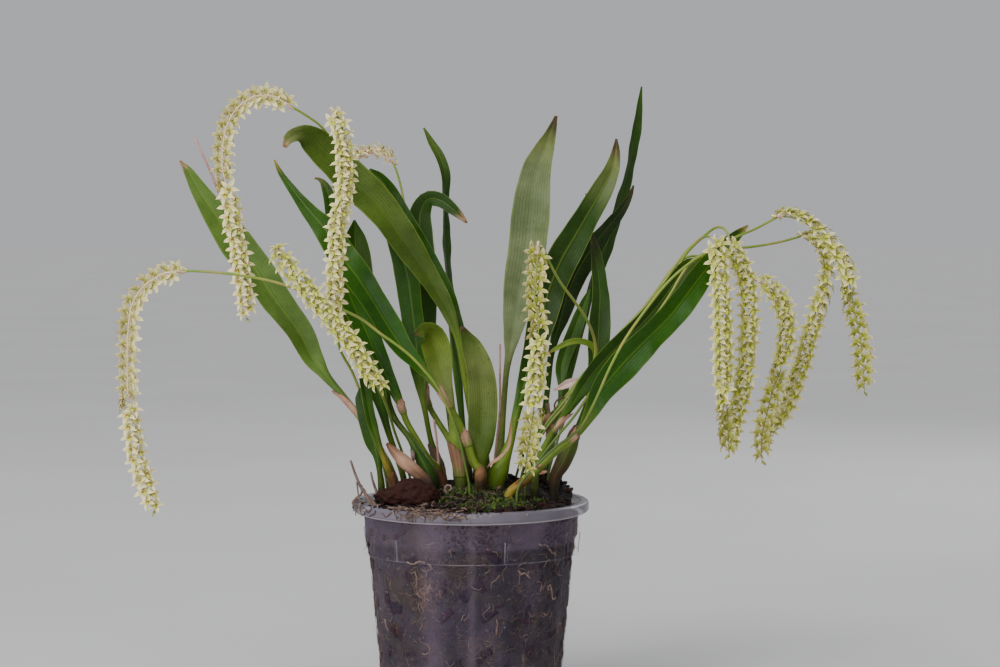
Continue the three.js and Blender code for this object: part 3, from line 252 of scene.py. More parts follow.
def apply_modifier(piece, kind, **settings):
    """Adds a modifier to a piece and applies it at once."""
    work_on(piece)
    bpy.ops.object.modifier_add(type=kind)
    modifier = piece.modifiers[-1]
    for key, value in settings.items():
        setattr(modifier, key, value)
    bpy.ops.object.modifier_apply(modifier=modifier.name)


pot = spun("flower_pot", POT_WALL_OUTSIDE + POT_WALL_INSIDE, POT_SPIN_STEPS)


def is_outside(face):
    """Whether a face of the pot looks away from the pot's axis."""
    return face.normal.x * face.center.x + face.normal.y * face.center.y > 0


# The ribs stand out of single faces of the wall, just above the ledge
work_on(pot)
bpy.ops.object.mode_set(mode="EDIT")
bpy.ops.mesh.select_mode(type="FACE")
bpy.ops.mesh.select_all(action="DESELECT")
bpy.ops.object.mode_set(mode="OBJECT")
for rib in range(RIB_COUNT):
    angle = math.radians(RIB_FIRST_ANGLE + rib * RIB_PITCH)
    towards = Vector((math.cos(angle), math.sin(angle), 0))
    band = [face for face in pot.data.polygons if RIB_LOW < face.center.z / MM < RIB_HIGH]
    max(filter(is_outside, band), key=lambda face: face.center.dot(towards)).select = True
bpy.ops.object.mode_set(mode="EDIT")
bpy.ops.mesh.inset(thickness=RIB_INSET * MM, depth=0)
bpy.ops.mesh.extrude_region_shrink_fatten(TRANSFORM_OT_shrink_fatten={"value": RIB_PROUD * MM})
bpy.ops.object.mode_set(mode="OBJECT")
edges = {"limit_method": "ANGLE", "angle_limit": math.radians(POT_EDGE_ANGLE)}
apply_modifier(pot, "BEVEL", width=POT_EDGE_ROUNDING * MM, segments=2, **edges)

for hole in range(DRAIN_HOLES):
    at = around(DRAIN_CIRCLE * MM, (hole + 0.5) * 2 * math.pi / DRAIN_HOLES, 0)
    bpy.ops.mesh.primitive_cylinder_add(
        vertices=24, radius=DRAIN_RADIUS * MM, depth=DRILL_LENGTH * MM, location=at,
    )
    drill = bpy.context.object
    apply_modifier(pot, "BOOLEAN", operation="DIFFERENCE", object=drill, solver="EXACT")
    bpy.data.objects.remove(drill)
work_on(pot)
bpy.ops.object.shade_smooth_by_angle(angle=math.radians(POT_SMOOTH_ANGLE))

# The wall is clear and glossy under a thin haze, which is thicker on the band above the ledge, with a few
# dried splashes. The haze is also thicker in upright bands, two of which are painted highlights where the
# softboxes are reflected towards the camera
frosted = Finish("clear_plastic_wall", Metallic=1.0, Roughness=0.07)
sides = frosted.node("SeparateXYZ", {0: frosted.place}).outputs
stretched = frosted.node("Mapping", {0: frosted.place, 3: (1, 1, STREAK_STRETCH)}).outputs[0]
clouds = frosted.patches(0.38, 0.72, 38, 6, 0.65)
streaks = frosted.patches(0.45, 0.75, 55, 5, 0.6, place=stretched)
splash = frosted.node("TexVoronoi", {"Vector": frosted.place, "Scale": 95.0})
chosen = frosted.graded(frosted.node("SeparateColor", {0: splash.outputs["Color"]}).outputs[0], 0.7, 0.72)
splashes = frosted.times(frosted.graded(splash.outputs["Distance"], 0.03, 0.06, 0.3, 0), chosen)
haze_and_highlights = frosted.plus(frosted.times(clouds, 0.008), frosted.times(streaks, 0.004))
azimuth = frosted.sums("ARCTAN2", sides[0], frosted.times(sides[1], -1))
patchy = frosted.patches(0.3, 0.7, 90, 4, to_low=0.5, to_high=1, place=stretched)
# Upright bands of thicker haze; the two strongest are painted highlights of the left softbox and the front
# strip
for middle, half, band_opacity in WALL_HAZE_AND_HIGHLIGHT_BANDS:
    off = frosted.apart(azimuth, math.radians(middle))
    band = frosted.graded(off, 0.0, math.radians(half), band_opacity, 0.0, interpolation_type="SMOOTHSTEP")
    haze_and_highlights = frosted.plus(haze_and_highlights, frosted.times(band, patchy))
haze_rise = (HAZE_BAND_FOOT * MM, (HAZE_BAND_FOOT + HAZE_BAND_SOFTNESS) * MM)
haze_and_highlights = frosted.plus(haze_and_highlights, frosted.graded(sides[2], *haze_rise, 0.002, 0.036))
frosted.wire("Alpha", frosted.plus(haze_and_highlights, splashes))
frosted.wire("Base Color", frosted.blended(clouds, POT_TINT, POT_SCUFF_TINT))
frosted.wire("Normal", frosted.raised(frosted.grain(40, 4), 0.25, 1.0 * MM))

# Painted highlights: along the edge of the ledge and of the ribs, where the edges catch the light, the
# plastic is painted whiter and less clear
thick = Finish("ledge_and_rib_highlight", Roughness=0.3, IOR=1.5)
uneven = thick.patches(0.35, 0.7, 50, 3)
thick.wire("Base Color", thick.blended(uneven, EDGE_HIGHLIGHT_DIM, EDGE_HIGHLIGHT_BRIGHT))
thick.wire("Alpha", thick.graded(uneven, 0, 1, 0.35, 0.6))

# The rim is thick, so it looks milky and nearly solid, with earth dried on it, and a painted highlight line
# runs along its lower edge
milky = Finish("milky_rim", Roughness=0.32, IOR=1.5)
earth = milky.patches(0.6, 0.68, 150, 6, 0.7, to_low=0, to_high=0.7)
cloud = milky.patches(0.2, 0.9, 60, 4)
colour = milky.blended(cloud, RIM_SHADE, RIM_LIGHT)
# Painted highlight: a pale, less clear line along the lower edge of the rim
lip_highlight = milky.graded(milky.height, RIM_LIP_GLOW[0] * MM, RIM_LIP_GLOW[1] * MM, 0.75, 0)
colour = milky.blended(lip_highlight, colour, RIM_LIP_HIGHLIGHT)
milky.wire("Base Color", milky.blended(earth, colour, RIM_EARTH))
milky.wire("Alpha", milky.plus(milky.graded(cloud, 0, 1, 0.72, 0.88), milky.times(lip_highlight, 0.3)))
milky.wire("Normal", milky.raised(milky.grain(200, 4), 0.1, 0.3 * MM))
for finish in (frosted, milky, thick):
    pot.data.materials.append(finish.material)
# The rim takes the milky finish, and the faces along the ledge edge and the rib edges take the painted
# highlight
for face in pot.data.polygons:
    x, y, height = (value / MM for value in face.center)
    turn = (math.degrees(math.atan2(y, x)) - RIB_FIRST_ANGLE) % RIB_PITCH
    from_rib = math.radians(min(turn, RIB_PITCH - turn)) * math.hypot(x, y)
    on_ledge = LEDGE_EDGE[0] < height < LEDGE_EDGE[1]
    on_rib = RIB_LOW < height < RIB_HIGH and RIB_EDGE[0] < from_rib < RIB_EDGE[1]
    if height > RIM_FOOT:
        face.material_index = 1
    elif is_outside(face) and (on_ledge or on_rib):
        face.material_index = 2
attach(pot, "root")
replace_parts(pot, "pot")


# Bark mix: it fills the pot, pressed against the clear wall all round, and is heaped up in the middle.
# The body is spun from one profile and broken up with displacement, always inwards.
MIX_EDGE_HEIGHT = 113
MIX_HEAP = 14
MIX_SPIN_STEPS = 160
MIX_TOP_RADIUS = 57.0
MIX_WALL_CLEARANCE = 0.12
MIX_FOOT = 2.7
MIX_WALL_RINGS = 62
MIX_TOP_RINGS = 34
MIX_REACH = 57.8
HEAP_REACH = 56
MIX_HAZE_GLOW_TOP = (112, 113)
# Dents: the kind of texture, its size and its depth
MIX_DENTS = [("VORONOI", 6, 1.0), ("CLOUDS", 2, 0.8)]
HUMUS_LUMPS = [("CLOUDS", 6, 3.5), ("VORONOI", 3, 1.6)]
# Humus cushions: the middle of each in x, y and z, and half its size
HUMUS = [(38, 4, 120, 19, 14, 13), (12, 15, 120, 24, 13, 12), (-14, 18, 119, 16, 10, 9)]
MIX_DARK = linear(11, 8, 14)
MIX_BROWN = linear(32, 22, 27)
MIX_TAN = linear(94, 76, 72)
MIX_GREEN = linear(46, 48, 26)
MIX_OCHRE = linear(62, 46, 32)
MIX_DUST_AND_HAZE_GLOW = linear(64, 53, 76)


def mix_height(x, y):
    """Height of the heap at a place in the pot, in metres."""
    share = np.minimum(np.hypot(x, y) / (MIX_REACH * MM), 1)
    return (MIX_EDGE_HEIGHT + MIX_HEAP * (1 - share ** 2)) * MM


def ground_height(x, y):
    """Height of the heap, or of the humus on it, at a place in the pot, in metres."""
    top = mix_height(x, y)
    for middle_x, middle_y, middle_z, half_x, half_y, half_z in HUMUS:
        share = 1 - ((x / MM - middle_x) / half_x) ** 2 - ((y / MM - middle_y) / half_y) ** 2
        top = max(top, (middle_z + half_z * math.sqrt(max(share, 0))) * MM)
    return top


def inner_wall(height):
    """Radius of the pot's inside at a height, both in millimetres."""
    radii, heights = zip(*sorted(POT_WALL_INSIDE[:-1], key=lambda point: point[1]))
    return np.interp(height, heights, radii)


def roughened(piece, lumps, level):
    """Breaks a surface up with lumps: the kind of texture, its size and depth. level is what lies still."""
    for kind, size, depth in lumps:
        texture = bpy.data.textures.new(f"{piece.name}_{kind.lower()}", type=kind)
        texture.noise_scale = size * MM
        surface = {"texture": texture, "texture_coords": "GLOBAL", "mid_level": level}
        apply_modifier(piece, "DISPLACE", strength=depth * MM, **surface)


mix_profile = [(0, MIX_FOOT - 0.1)]
mix_heights = np.linspace(MIX_FOOT, MIX_EDGE_HEIGHT, MIX_WALL_RINGS)
mix_profile += [(inner_wall(z) - MIX_WALL_CLEARANCE, z) for z in mix_heights]
mix_radii = np.linspace(MIX_TOP_RADIUS, 0, MIX_TOP_RINGS)
mix_profile += [(r, float(mix_height(r * MM, 0)) / MM) for r in mix_radii]
mix = spun("bark_mix", mix_profile, MIX_SPIN_STEPS)
roughened(mix, MIX_DENTS, 1.0)

bark_mix = Finish("bark_mix", Roughness=0.85)
cells = {"Vector": bark_mix.place, "Scale": 190, "Randomness": 1.0}
chips = bark_mix.node("TexVoronoi", cells).outputs["Color"]
chip_value = bark_mix.node("SeparateColor", {0: chips}).outputs[0]
fibre = bark_mix.grain(420, 6, 0.7, 1.5)
thread = bark_mix.graded(bark_mix.apart(bark_mix.grain(210, 2, 0.6, 2.2), 0.5), 0.008, 0.022, 1, 0)
patchy = bark_mix.patches(0.4, 0.6, 60, 3)
colour = bark_mix.blended(bark_mix.graded(chip_value, 0.35, 1.0), MIX_DARK, MIX_BROWN)
colour = bark_mix.blended(bark_mix.patches(0.52, 0.64, 70, 6, 0.7, to_low=0, to_high=0.7), colour, MIX_GREEN)
colour = bark_mix.blended(bark_mix.patches(0.5, 0.62, 36, 6, 0.7, to_low=0, to_high=0.6), colour, MIX_OCHRE)
colour = bark_mix.blended(bark_mix.graded(fibre, 0.58, 0.68), colour, MIX_TAN)
colour = bark_mix.blended(bark_mix.times(thread, patchy), colour, MIX_TAN)
# Painted light: behind the hazier band of the wall the mix is lightened towards a pale violet-grey, for the
# light that the haze scatters, fading out just under the rim
haze_glow = bark_mix.graded(bark_mix.height, haze_rise[0] - MM, haze_rise[1], 0.34, 0.55)
under_rim = bark_mix.graded(bark_mix.height, MIX_HAZE_GLOW_TOP[0] * MM, MIX_HAZE_GLOW_TOP[1] * MM, 1, 0)
uneven = bark_mix.patches(0.35, 0.6, 30, 4, to_low=0.2, to_high=1.3)
haze_glow = bark_mix.times(bark_mix.times(haze_glow, under_rim), uneven)
bark_mix.wire("Base Color", bark_mix.blended(haze_glow, colour, MIX_DUST_AND_HAZE_GLOW))
bark_mix.wire("Normal", bark_mix.raised(fibre, 0.8, 1.2 * MM))
mix.data.materials.append(bark_mix.material)
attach(mix, "root")
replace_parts(mix, "potting_mix")

# Humus: a dark spongy cushion of old roots has grown up between the feet of the shoots
bpy.ops.object.select_all(action="DESELECT")
for middle_x, middle_y, middle_z, half_x, half_y, half_z in HUMUS:
    at, half = (middle_x * MM, middle_y * MM, middle_z * MM), (half_x, half_y, half_z)
    bpy.ops.mesh.primitive_ico_sphere_add(subdivisions=5, radius=MM, location=at, scale=half)
for piece in bpy.data.objects:
    piece.select_set(piece.name.startswith("Icosphere"))
bpy.ops.object.join()
bpy.ops.object.transform_apply(location=True, rotation=True, scale=True)
humus = bpy.context.object
humus.name = "humus"
roughened(humus, HUMUS_LUMPS, 0.7)
humus.data.materials.append(bark_mix.material)
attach(humus, "root")


# Bark chips: broken pieces of pine bark, on the heap and pressed flat against the clear wall, where they
# are paler and greyer and have a shade below nought. One chip is cut from a cube and copied, turned and
# stretched.
CHIP_SEED = 5
CHIPS_ON_TOP = 210
CHIPS_AT_WALL = 160
CHIP_LENGTHS = (3.5, 10.0)
WALL_REACH = 55
CHIP_SUNK = 1.1
CHIP_UNEVEN = 0.07
WALL_CHIP_HEIGHTS = (6, 108)
WALL_CHIP_LENGTHS = (4, 13)
WALL_CHIP_GAP = 0.5
CHIP_RED = linear(42, 16, 9)
CHIP_GREY = linear(66, 44, 34)
rng = np.random.default_rng(CHIP_SEED)

bpy.ops.object.select_all(action="DESELECT")
bpy.ops.mesh.primitive_cube_add(size=1)
pattern = bpy.context.object
bpy.ops.object.mode_set(mode="EDIT")
bpy.ops.mesh.select_all(action="SELECT")
bpy.ops.mesh.subdivide(number_cuts=2)
bpy.ops.mesh.vertices_smooth(factor=0.55, repeat=2)
bpy.ops.object.mode_set(mode="OBJECT")


def taken_from(pattern):
    """The points and faces of a pattern, which is then removed."""
    points = np.array([v.co[:] for v in pattern.data.vertices])
    faces = [tuple(face.vertices) for face in pattern.data.polygons]
    bpy.data.objects.remove(pattern)
    return points, faces


chip_points, chip_faces = taken_from(pattern)
chip_points /= np.abs(chip_points).max(axis=0) * 2
chip_points += rng.uniform(-CHIP_UNEVEN, CHIP_UNEVEN, chip_points.shape)


def turned_about(axis, angle):
    """A 3 by 3 turn about an axis."""
    return np.array(Matrix.Rotation(angle, 3, Vector(axis)))


class Heap:
    """Gathers copies of small patterns into one mesh, each with a shade of its own."""

    def __init__(self):
        self.points, self.faces, self.shades, self.slots, self.count = [], [], [], [], 0

    def put(self, points, faces, shade, slots=0):
        """Adds one copy. The shade and the material slots are one for all or a list."""
        self.points.append(points)
        self.faces += [tuple(corner + self.count for corner in face) for face in faces]
        self.shades.append(np.full(len(points), shade) if np.isscalar(shade) else shade)
        self.slots += [slots] * len(faces) if np.isscalar(slots) else list(slots)
        self.count += len(points)

    def piece(self, name, finishes, smooth=True):
        """Makes the mesh, with its shades as a point attribute."""
        piece = new_mesh(name, np.vstack(self.points), self.faces, smooth)
        shade = piece.data.attributes.new("shade", "FLOAT", "POINT")
        shade.data.foreach_set("value", np.concatenate(self.shades).astype(np.float32))
        for finish in finishes:
            piece.data.materials.append(finish.material)
        piece.data.polygons.foreach_set("material_index", self.slots)
        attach(piece, "root")
        return piece


chips = Heap()
for _ in range(CHIPS_ON_TOP):
    angle = rng.uniform(0, 2 * math.pi)
    reach = WALL_REACH * MM * math.sqrt(rng.uniform(0, 1))
    x, y = reach * math.cos(angle), reach * math.sin(angle)
    length = rng.uniform(*CHIP_LENGTHS) * MM
    size = np.array([length, length * rng.uniform(0.4, 0.7), length * rng.uniform(0.18, 0.35)])
    turn = turned_about((0, 0, 1), rng.uniform(0, 6.28)) @ turned_about((1, 0, 0), rng.normal(0, 0.35))
    centre = np.array([x, y, ground_height(x, y) - CHIP_SUNK * MM])
    chips.put((chip_points * size) @ turn.T + centre, chip_faces, rng.uniform())
for _ in range(CHIPS_AT_WALL):
    angle = rng.uniform(0, 2 * math.pi)
    height = rng.uniform(*WALL_CHIP_HEIGHTS)
    length = rng.uniform(*WALL_CHIP_LENGTHS) * MM
    size = np.array([length, length * rng.uniform(0.12, 0.2), length * rng.uniform(0.3, 0.6)])
    turn = turned_about((0, 0, 1), angle + math.pi / 2) @ turned_about((0, 1, 0), rng.uniform(0, 3.14))
    bulge = length ** 2 / (8 * WALL_REACH * MM)
    reach = inner_wall(height) * MM - size[1] * 0.5 - bulge - WALL_CHIP_GAP * MM
    centre = np.array([reach * math.cos(angle), reach * math.sin(angle), height * MM])
    chips.put((chip_points * size) @ turn.T + centre, chip_faces, -rng.uniform())

bark = Finish("bark", Roughness=0.8, Specular_IOR_Level=0.2)
shade = bark.painted("shade")
cork = bark.grain(300, 8, 0.7, 0.6)
colour = bark.blended(bark.sums("ABSOLUTE", shade), CHIP_RED, MIX_DARK)
colour = bark.blended(bark.graded(cork, 0.5, 0.7, 0, 0.5), colour, CHIP_GREY)
# Chips at the wall, with a shade below nought, are blended a little towards the pale violet-grey that
# lightens the mix behind the wall's hazy band
colour = bark.blended(bark.graded(shade, -0.01, 0, 0.3, 0), colour, MIX_DUST_AND_HAZE_GLOW)
bark.wire("Base Color", colour)
bark.wire("Roughness", bark.graded(cork, 0.3, 0.7, 0.6, 0.95))
bark.wire("Normal", bark.raised(cork, 0.7, 0.6 * MM))
piece = chips.piece("bark_chips", [bark])


# Bark chunk: one large dark red-brown piece of bark that lies on the heap at the front left
CHUNK_AT = (-35.5, 123.5, -28)
CHUNK_HALF = (17.6, 6.3, 7.6)
CHUNK_TILT = 4
CHUNK_OUTLINE = [
    (-1, 0.35, -3), (-0.7, 0.5, -2.6), (-0.42, 0.6, -2.2), (-0.25, 0.85, -0.8), (0.1, 1, 0), (0.5, 0.98, 0),
    (0.8, 0.85, -1), (1, 0.7, -2),
]
CHUNK_FLAKES = [("VORONOI", 9, 2.4), ("CLOUDS", 3.5, 2.2), ("VORONOI", 2.6, 0.9)]


def placed(rows):
    """Points of the layout: x and z in the upright plane through the pot's axis, as seen from the eye, and
    the depth behind that plane. The point lies on the line of sight, as far along it as the depth says."""
    x, z, depth = (np.array(rows, float)[:, i] * MM for i in range(3))
    reach = 1 - depth / EYE[1]
    return np.stack([EYE[0] + (x - EYE[0]) * reach, depth, EYE[2] + (z - EYE[2]) * reach], axis=1)


chunk_centre = Vector(placed([CHUNK_AT])[0])
bpy.ops.object.select_all(action="DESELECT")
bpy.ops.mesh.primitive_cube_add(size=2, location=chunk_centre)
chunk = bpy.context.object
chunk.name = "bark_chunk_dressed"
places, sizes, drops = zip(*CHUNK_OUTLINE)
bpy.ops.object.mode_set(mode="EDIT")
bpy.ops.mesh.select_all(action="SELECT")
bpy.ops.mesh.subdivide(number_cuts=7, smoothness=0.6)
bpy.ops.object.mode_set(mode="OBJECT")
widest = [max(abs(vertex.co[i]) for vertex in chunk.data.vertices) for i in range(3)]
for vertex in chunk.data.vertices:
    vertex.co = [vertex.co[i] / widest[i] * CHUNK_HALF[i] * MM for i in range(3)]
    along = vertex.co.x / (CHUNK_HALF[0] * MM)
    vertex.co.z = vertex.co.z * np.interp(along, places, sizes) + np.interp(along, places, drops) * MM
    vertex.co.y *= np.interp(along, places, sizes)
bpy.ops.object.mode_set(mode="EDIT")
bpy.ops.transform.rotate(value=math.radians(-CHUNK_TILT), orient_axis="Y", center_override=chunk_centre)
bpy.ops.object.mode_set(mode="OBJECT")
apply_modifier(chunk, "SUBSURF", levels=2, render_levels=2)
roughened(chunk, CHUNK_FLAKES, 0.45)
work_on(chunk)
bpy.ops.object.transform_apply(location=True, rotation=True, scale=True)
bpy.ops.object.shade_smooth()
chunk_shade = chunk.data.attributes.new("shade", "FLOAT", "POINT")
chunk_shade.data.foreach_set("value", np.full(len(chunk.data.vertices), 0.0, np.float32))
chunk.data.materials.append(bark.material)
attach(chunk, "root")
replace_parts(chunk, "bark_chunk")


# Roots and fibres: pale living roots and brown dead fibres run through the mix, along the inside of the
# clear wall and over the heap. A few dry ones hang over the rim at the front left.
ROOT_SEED = 12
WALL_ROOTS = 26
WALL_FIBRES = 1600
TOP_FIBRES = 110
RIM_FIBRES = 110
RIM_FLECKS = 26
FLECK_SHADES = [-0.5, 0.2, 1.0]
FLECK_HEIGHTS = (117.5, 120.4)
FIBRE_FIELD = (-48, 48)
WALL_GAP = 0.25
# Where they gather, as a mean and a spread: angles in degrees from the right, heights, and x and y
NEST_ANGLES = (-117, 5)
NEST_HEIGHTS = (76, 6)
FIBRE_NEST = ((-32, 9), (-44, 5))
RIM_ANGLES = ((-114, 9), (-165, 8))
FLECK_ANGLES = (-92, 9)
ROOT_HEIGHTS = (8, 104)
RIM_TOP = 120.6
RIM_MIDDLE = 62
RIM_EDGE = 63.6
RIM_SIDE = 65.3
# Dry roots: the radius of each and its line
DRY_ROOTS = [
    (1.0, [(-52.5, 116.5, -25), (-57, 121, -21), (-61, 127, -18), (-63.6, 133, -16), (-66.5, 141.5, -14)]),
    (0.7, [(-60.6, 127.6, -18), (-60.5, 123, -20), (-63.6, 120.8, -20), (-65.8, 117.5, -20)]),
    (0.6, [(-61, 127, -18.5), (-58.5, 124.5, -23), (-56.5, 119.5, -28), (-54, 116.5, -30)]),
    (0.5, [(-63, 129.5, -17), (-62.5, 124.5, -19), (-62, 120.8, -21), (-60.5, 117.5, -22)]),
    (0.9, [(-50, 119.5, -20), (-52.5, 125, -20), (-54.6, 131.5, -20), (-55.2, 135, -20)]),
    (0.8, [
        (-13, 123, -45), (-14.5, 126, -45), (-12.5, 128, -45.5), (-10.5, 126.5, -46.5), (-12, 124.5, -47),
    ]),
]
ROOT_PALE = linear(164, 140, 120)
ROOT_BROWN = linear(80, 58, 50)


def eased(b, c, leave, arrive, share):
    """The cubic run from b to c that leaves and arrives at the given slopes."""
    bend, twist = 3 * (c - b) - 2 * leave - arrive, 2 * (b - c) + leave + arrive
    return b + leave * share + bend * share ** 2 + twist * share ** 3


def smooth_line(points, t):
    """Points of a smooth line through the given points, with t from 0 at its start to 1 at its end."""
    line = np.vstack([2 * points[0] - points[1], points, 2 * points[-1] - points[-2]])
    place = np.clip(t, 0, 1) * (len(points) - 1)
    first = np.minimum(place.astype(int), len(points) - 2)
    share = (place - first)[:, None]
    a, b, c, d = (line[first + i] for i in range(4))
    ab, bc, cd = (np.linalg.norm(q - p, axis=1, keepdims=True) ** 0.5 for p, q in ((a, b), (b, c), (c, d)))
    leave = bc * ((b - a) / ab - (c - a) / (ab + bc) + (c - b) / bc)
    arrive = bc * ((c - b) / bc - (d - b) / (bc + cd) + (d - c) / cd)
    return eased(b, c, leave, arrive, share)


def smooth_values(values, t, tension=0.4):
    """A smooth run of values, one for each point of a line, read at the line's own t."""
    run = np.array([2 * values[0] - values[1], *values, 2 * values[-1] - values[-2]], float)
    place = np.clip(t, 0, 1) * (len(values) - 1)
    first = np.minimum(place.astype(int), len(values) - 2)
    share = place - first
    a, b, c, d = (run[first + i] for i in range(4))
    leave, arrive = tension * (c - a), tension * (d - b)
    return eased(b, c, leave, arrive, share)


def even_steps(points, count):
    """The t of points spaced evenly along a line, and the line's length."""
    t = np.linspace(0, 1, 1200)
    stretches = np.linalg.norm(np.diff(smooth_line(points, t), axis=0), axis=1)
    reached = np.concatenate([[0], np.cumsum(stretches)])
    return np.interp(np.linspace(0, reached[-1], count), reached, t), reached[-1]


def unit(vectors):
    """Vectors brought to length one."""
    return vectors / np.linalg.norm(vectors, axis=-1, keepdims=True)


def line_frames(points, t):
    """Points of a line, its direction there, and the direction towards the eye, square to the line."""
    centre = smooth_line(points, t)
    nudge = 2e-4
    ahead, behind = np.minimum(t + nudge, 1), np.maximum(t - nudge, 0)
    along = unit(smooth_line(points, ahead) - smooth_line(points, behind))
    view = unit(EYE - centre)
    view = unit(view - along * np.sum(view * along, axis=1, keepdims=True))
    return centre, along, view


def tube_faces(rings, around):
    """Faces between neighbouring rings of a tube, with both ends closed."""
    faces = []
    for ring in range(rings - 1):
        for side in range(around):
            a, b = ring * around + side, ring * around + (side + 1) % around
            faces.append((a, b, b + around, a + around))
    faces.append(tuple(reversed(range(around))))
    faces.append(tuple((rings - 1) * around + side for side in range(around)))
    return faces


def stalk_tube(line, radius_at, around=10, step=2.5):
    """The points and faces of a round stem along a line, its rings carried along without a twist."""
    rings = max(int(even_steps(line, 2)[1] / (step * MM)), 4)
    t = even_steps(line, rings)[0]
    centre, along, _ = line_frames(line, t)
    front = np.array([0.0, -1.0, 0.0])
    angle = np.arange(around) * 2 * math.pi / around
    points = []
    for ring in range(rings):
        front = unit(front - along[ring] * front.dot(along[ring]))
        side = np.cross(along[ring], front)
        turned = np.cos(angle)[:, None] * front + np.sin(angle)[:, None] * side
        points.append(centre[ring] + turned * radius_at(ring / (rings - 1)))
    return np.vstack(points), tube_faces(rings, around)


roots = Heap()
rng = np.random.default_rng(ROOT_SEED)


def wander(count, stride, bend):
    """A path that strays on a flat sheet, as steps from its first point."""
    heading = rng.uniform(0, 2 * math.pi)
    path = [np.zeros(2)]
    for _ in range(count):
        heading += rng.normal(0, bend)
        path.append(path[-1] + stride * np.array([math.cos(heading), math.sin(heading)]))
    return np.array(path)


for order in range(WALL_ROOTS + WALL_FIBRES):
    thick = order < WALL_ROOTS
    radius = rng.uniform(0.4, 0.7) if thick else rng.uniform(0.1, 0.2)
    path = wander(int(rng.integers(4, 9)), 2.2 if thick else rng.uniform(0.5, 1.6), 0.9)
    angle, height = rng.uniform(0, 2 * math.pi), rng.uniform(*ROOT_HEIGHTS)
    if order % 9 == 0:
        angle, height = math.radians(rng.normal(*NEST_ANGLES)), rng.normal(*NEST_HEIGHTS)
    heights = np.clip(height + path[:, 1], 4, 110)
    reach = inner_wall(heights) - radius - WALL_GAP
    angles = angle + path[:, 0] / WALL_REACH
    line = around(reach, angles, heights) * MM
    points, faces = stalk_tube(line, lambda share: radius * MM * (1 - 0.3 * share), 6 if thick else 4, 2.0)
    roots.put(points, faces, rng.uniform(0.3, 0.8) if thick else rng.uniform(0.3, 1.5))
for order in range(TOP_FIBRES):
    path = wander(int(rng.integers(4, 9)), 2.6, 0.7)
    nest = [rng.normal(*spread) for spread in FIBRE_NEST] if order % 4 else rng.uniform(*FIBRE_FIELD, 2)
    spot = np.array(nest) + path
    spot *= np.minimum(1, HEAP_REACH / np.hypot(*spot.T))[:, None]
    lift = 0.8 + 2.2 * np.abs(np.sin(np.arange(len(path)) + rng.uniform(0, 6))) * rng.uniform(0, 1)
    heights = mix_height(spot[:, 0] * MM, spot[:, 1] * MM) / MM + lift
    line = np.column_stack([spot, heights]) * MM
    radius = rng.uniform(0.18, 0.5)
    points, faces = stalk_tube(line, lambda share: radius * MM * (1 - 0.4 * share), 5, 1.6)
    roots.put(points, faces, rng.uniform(0.3, 1.0) if order % 2 else rng.uniform(0.9, 1.7))
for order in range(RIM_FIBRES):
    angle = math.radians(rng.normal(*RIM_ANGLES[order % 5 == 0]))
    path = wander(int(rng.integers(4, 8)), 1.7, 0.8)
    reach = RIM_EDGE - 0.6 + path[:, 0] * 0.5
    over = np.clip(reach - RIM_EDGE, 0, None)
    heights = RIM_TOP + np.abs(path[:, 1]) * 0.15 - over * 1.6
    reach = np.minimum(reach, RIM_SIDE)
    if order % 2:
        reach = np.full(len(path), RIM_SIDE + 0.05)
        heights = np.clip(RIM_TOP - 2 + path[:, 0], RIM_TOP - 6, RIM_TOP - 0.4)
    angles = angle + path[:, 1] / RIM_MIDDLE
    line = around(reach, angles, heights) * MM
    radius = rng.uniform(0.2, 0.45)
    points, faces = stalk_tube(line, lambda share: radius * MM * (1 - 0.3 * share), 5, 1.2)
    roots.put(points, faces, rng.uniform(0.4, 1.2))

for radius, rows in DRY_ROOTS:
    points, faces = stalk_tube(placed(rows), lambda share: radius * MM * (1.1 - 0.5 * share), 7, 1.5)
    roots.put(points, faces, 0.75)

for _ in range(RIM_FLECKS):
    angle, height = math.radians(rng.normal(*FLECK_ANGLES)), rng.uniform(*FLECK_HEIGHTS)
    size = np.array([0.5, rng.uniform(0.5, 1.2), rng.uniform(0.5, 0.9)]) * MM
    fleck = (chip_points * size) @ turned_about((0, 0, 1), angle).T
    roots.put(fleck + around((RIM_SIDE - 0.4) * MM, angle, height * MM), chip_faces, rng.choice(FLECK_SHADES))

root_finish = Finish("roots", Roughness=0.75)
shade = root_finish.painted("shade")
spotted = root_finish.patches(0.45, 0.68, 300, 5, 0.7, to_low=0, to_high=0.7)
colour = root_finish.blended(shade, ROOT_PALE, ROOT_BROWN)
root_finish.wire("Base Color", root_finish.blended(spotted, colour, MIX_DARK))
root_finish.wire("Normal", root_finish.raised(root_finish.grain(900, 3), 0.5, 0.2 * MM))
piece = roots.piece("roots_and_fibres", [root_finish])


# Crumbs: dark bits of bark and dry leaf on the heap and, fewer, along the top of the rim
CRUMBS = 620
CRUMB_LENGTHS = (1.2, 4.5)
CRUMB_RISE = (-0.4, 0.6)
RIM_CRUMBS = 70
RIM_CRUMB_LENGTHS = (0.7, 1.8)
RIM_BAND = (61.8, 64.8)
WALL_SPECKS = 260
# Where they gather, as a mean and a spread: angles in degrees from the right, and heights
RIM_CRUMB_ANGLES = (-115, 26)
SPECK_ANGLES = ((-87, 7), (-38, 8))
SPECK_HEIGHTS = (107, 4.5)
SPECK_TOP = 112

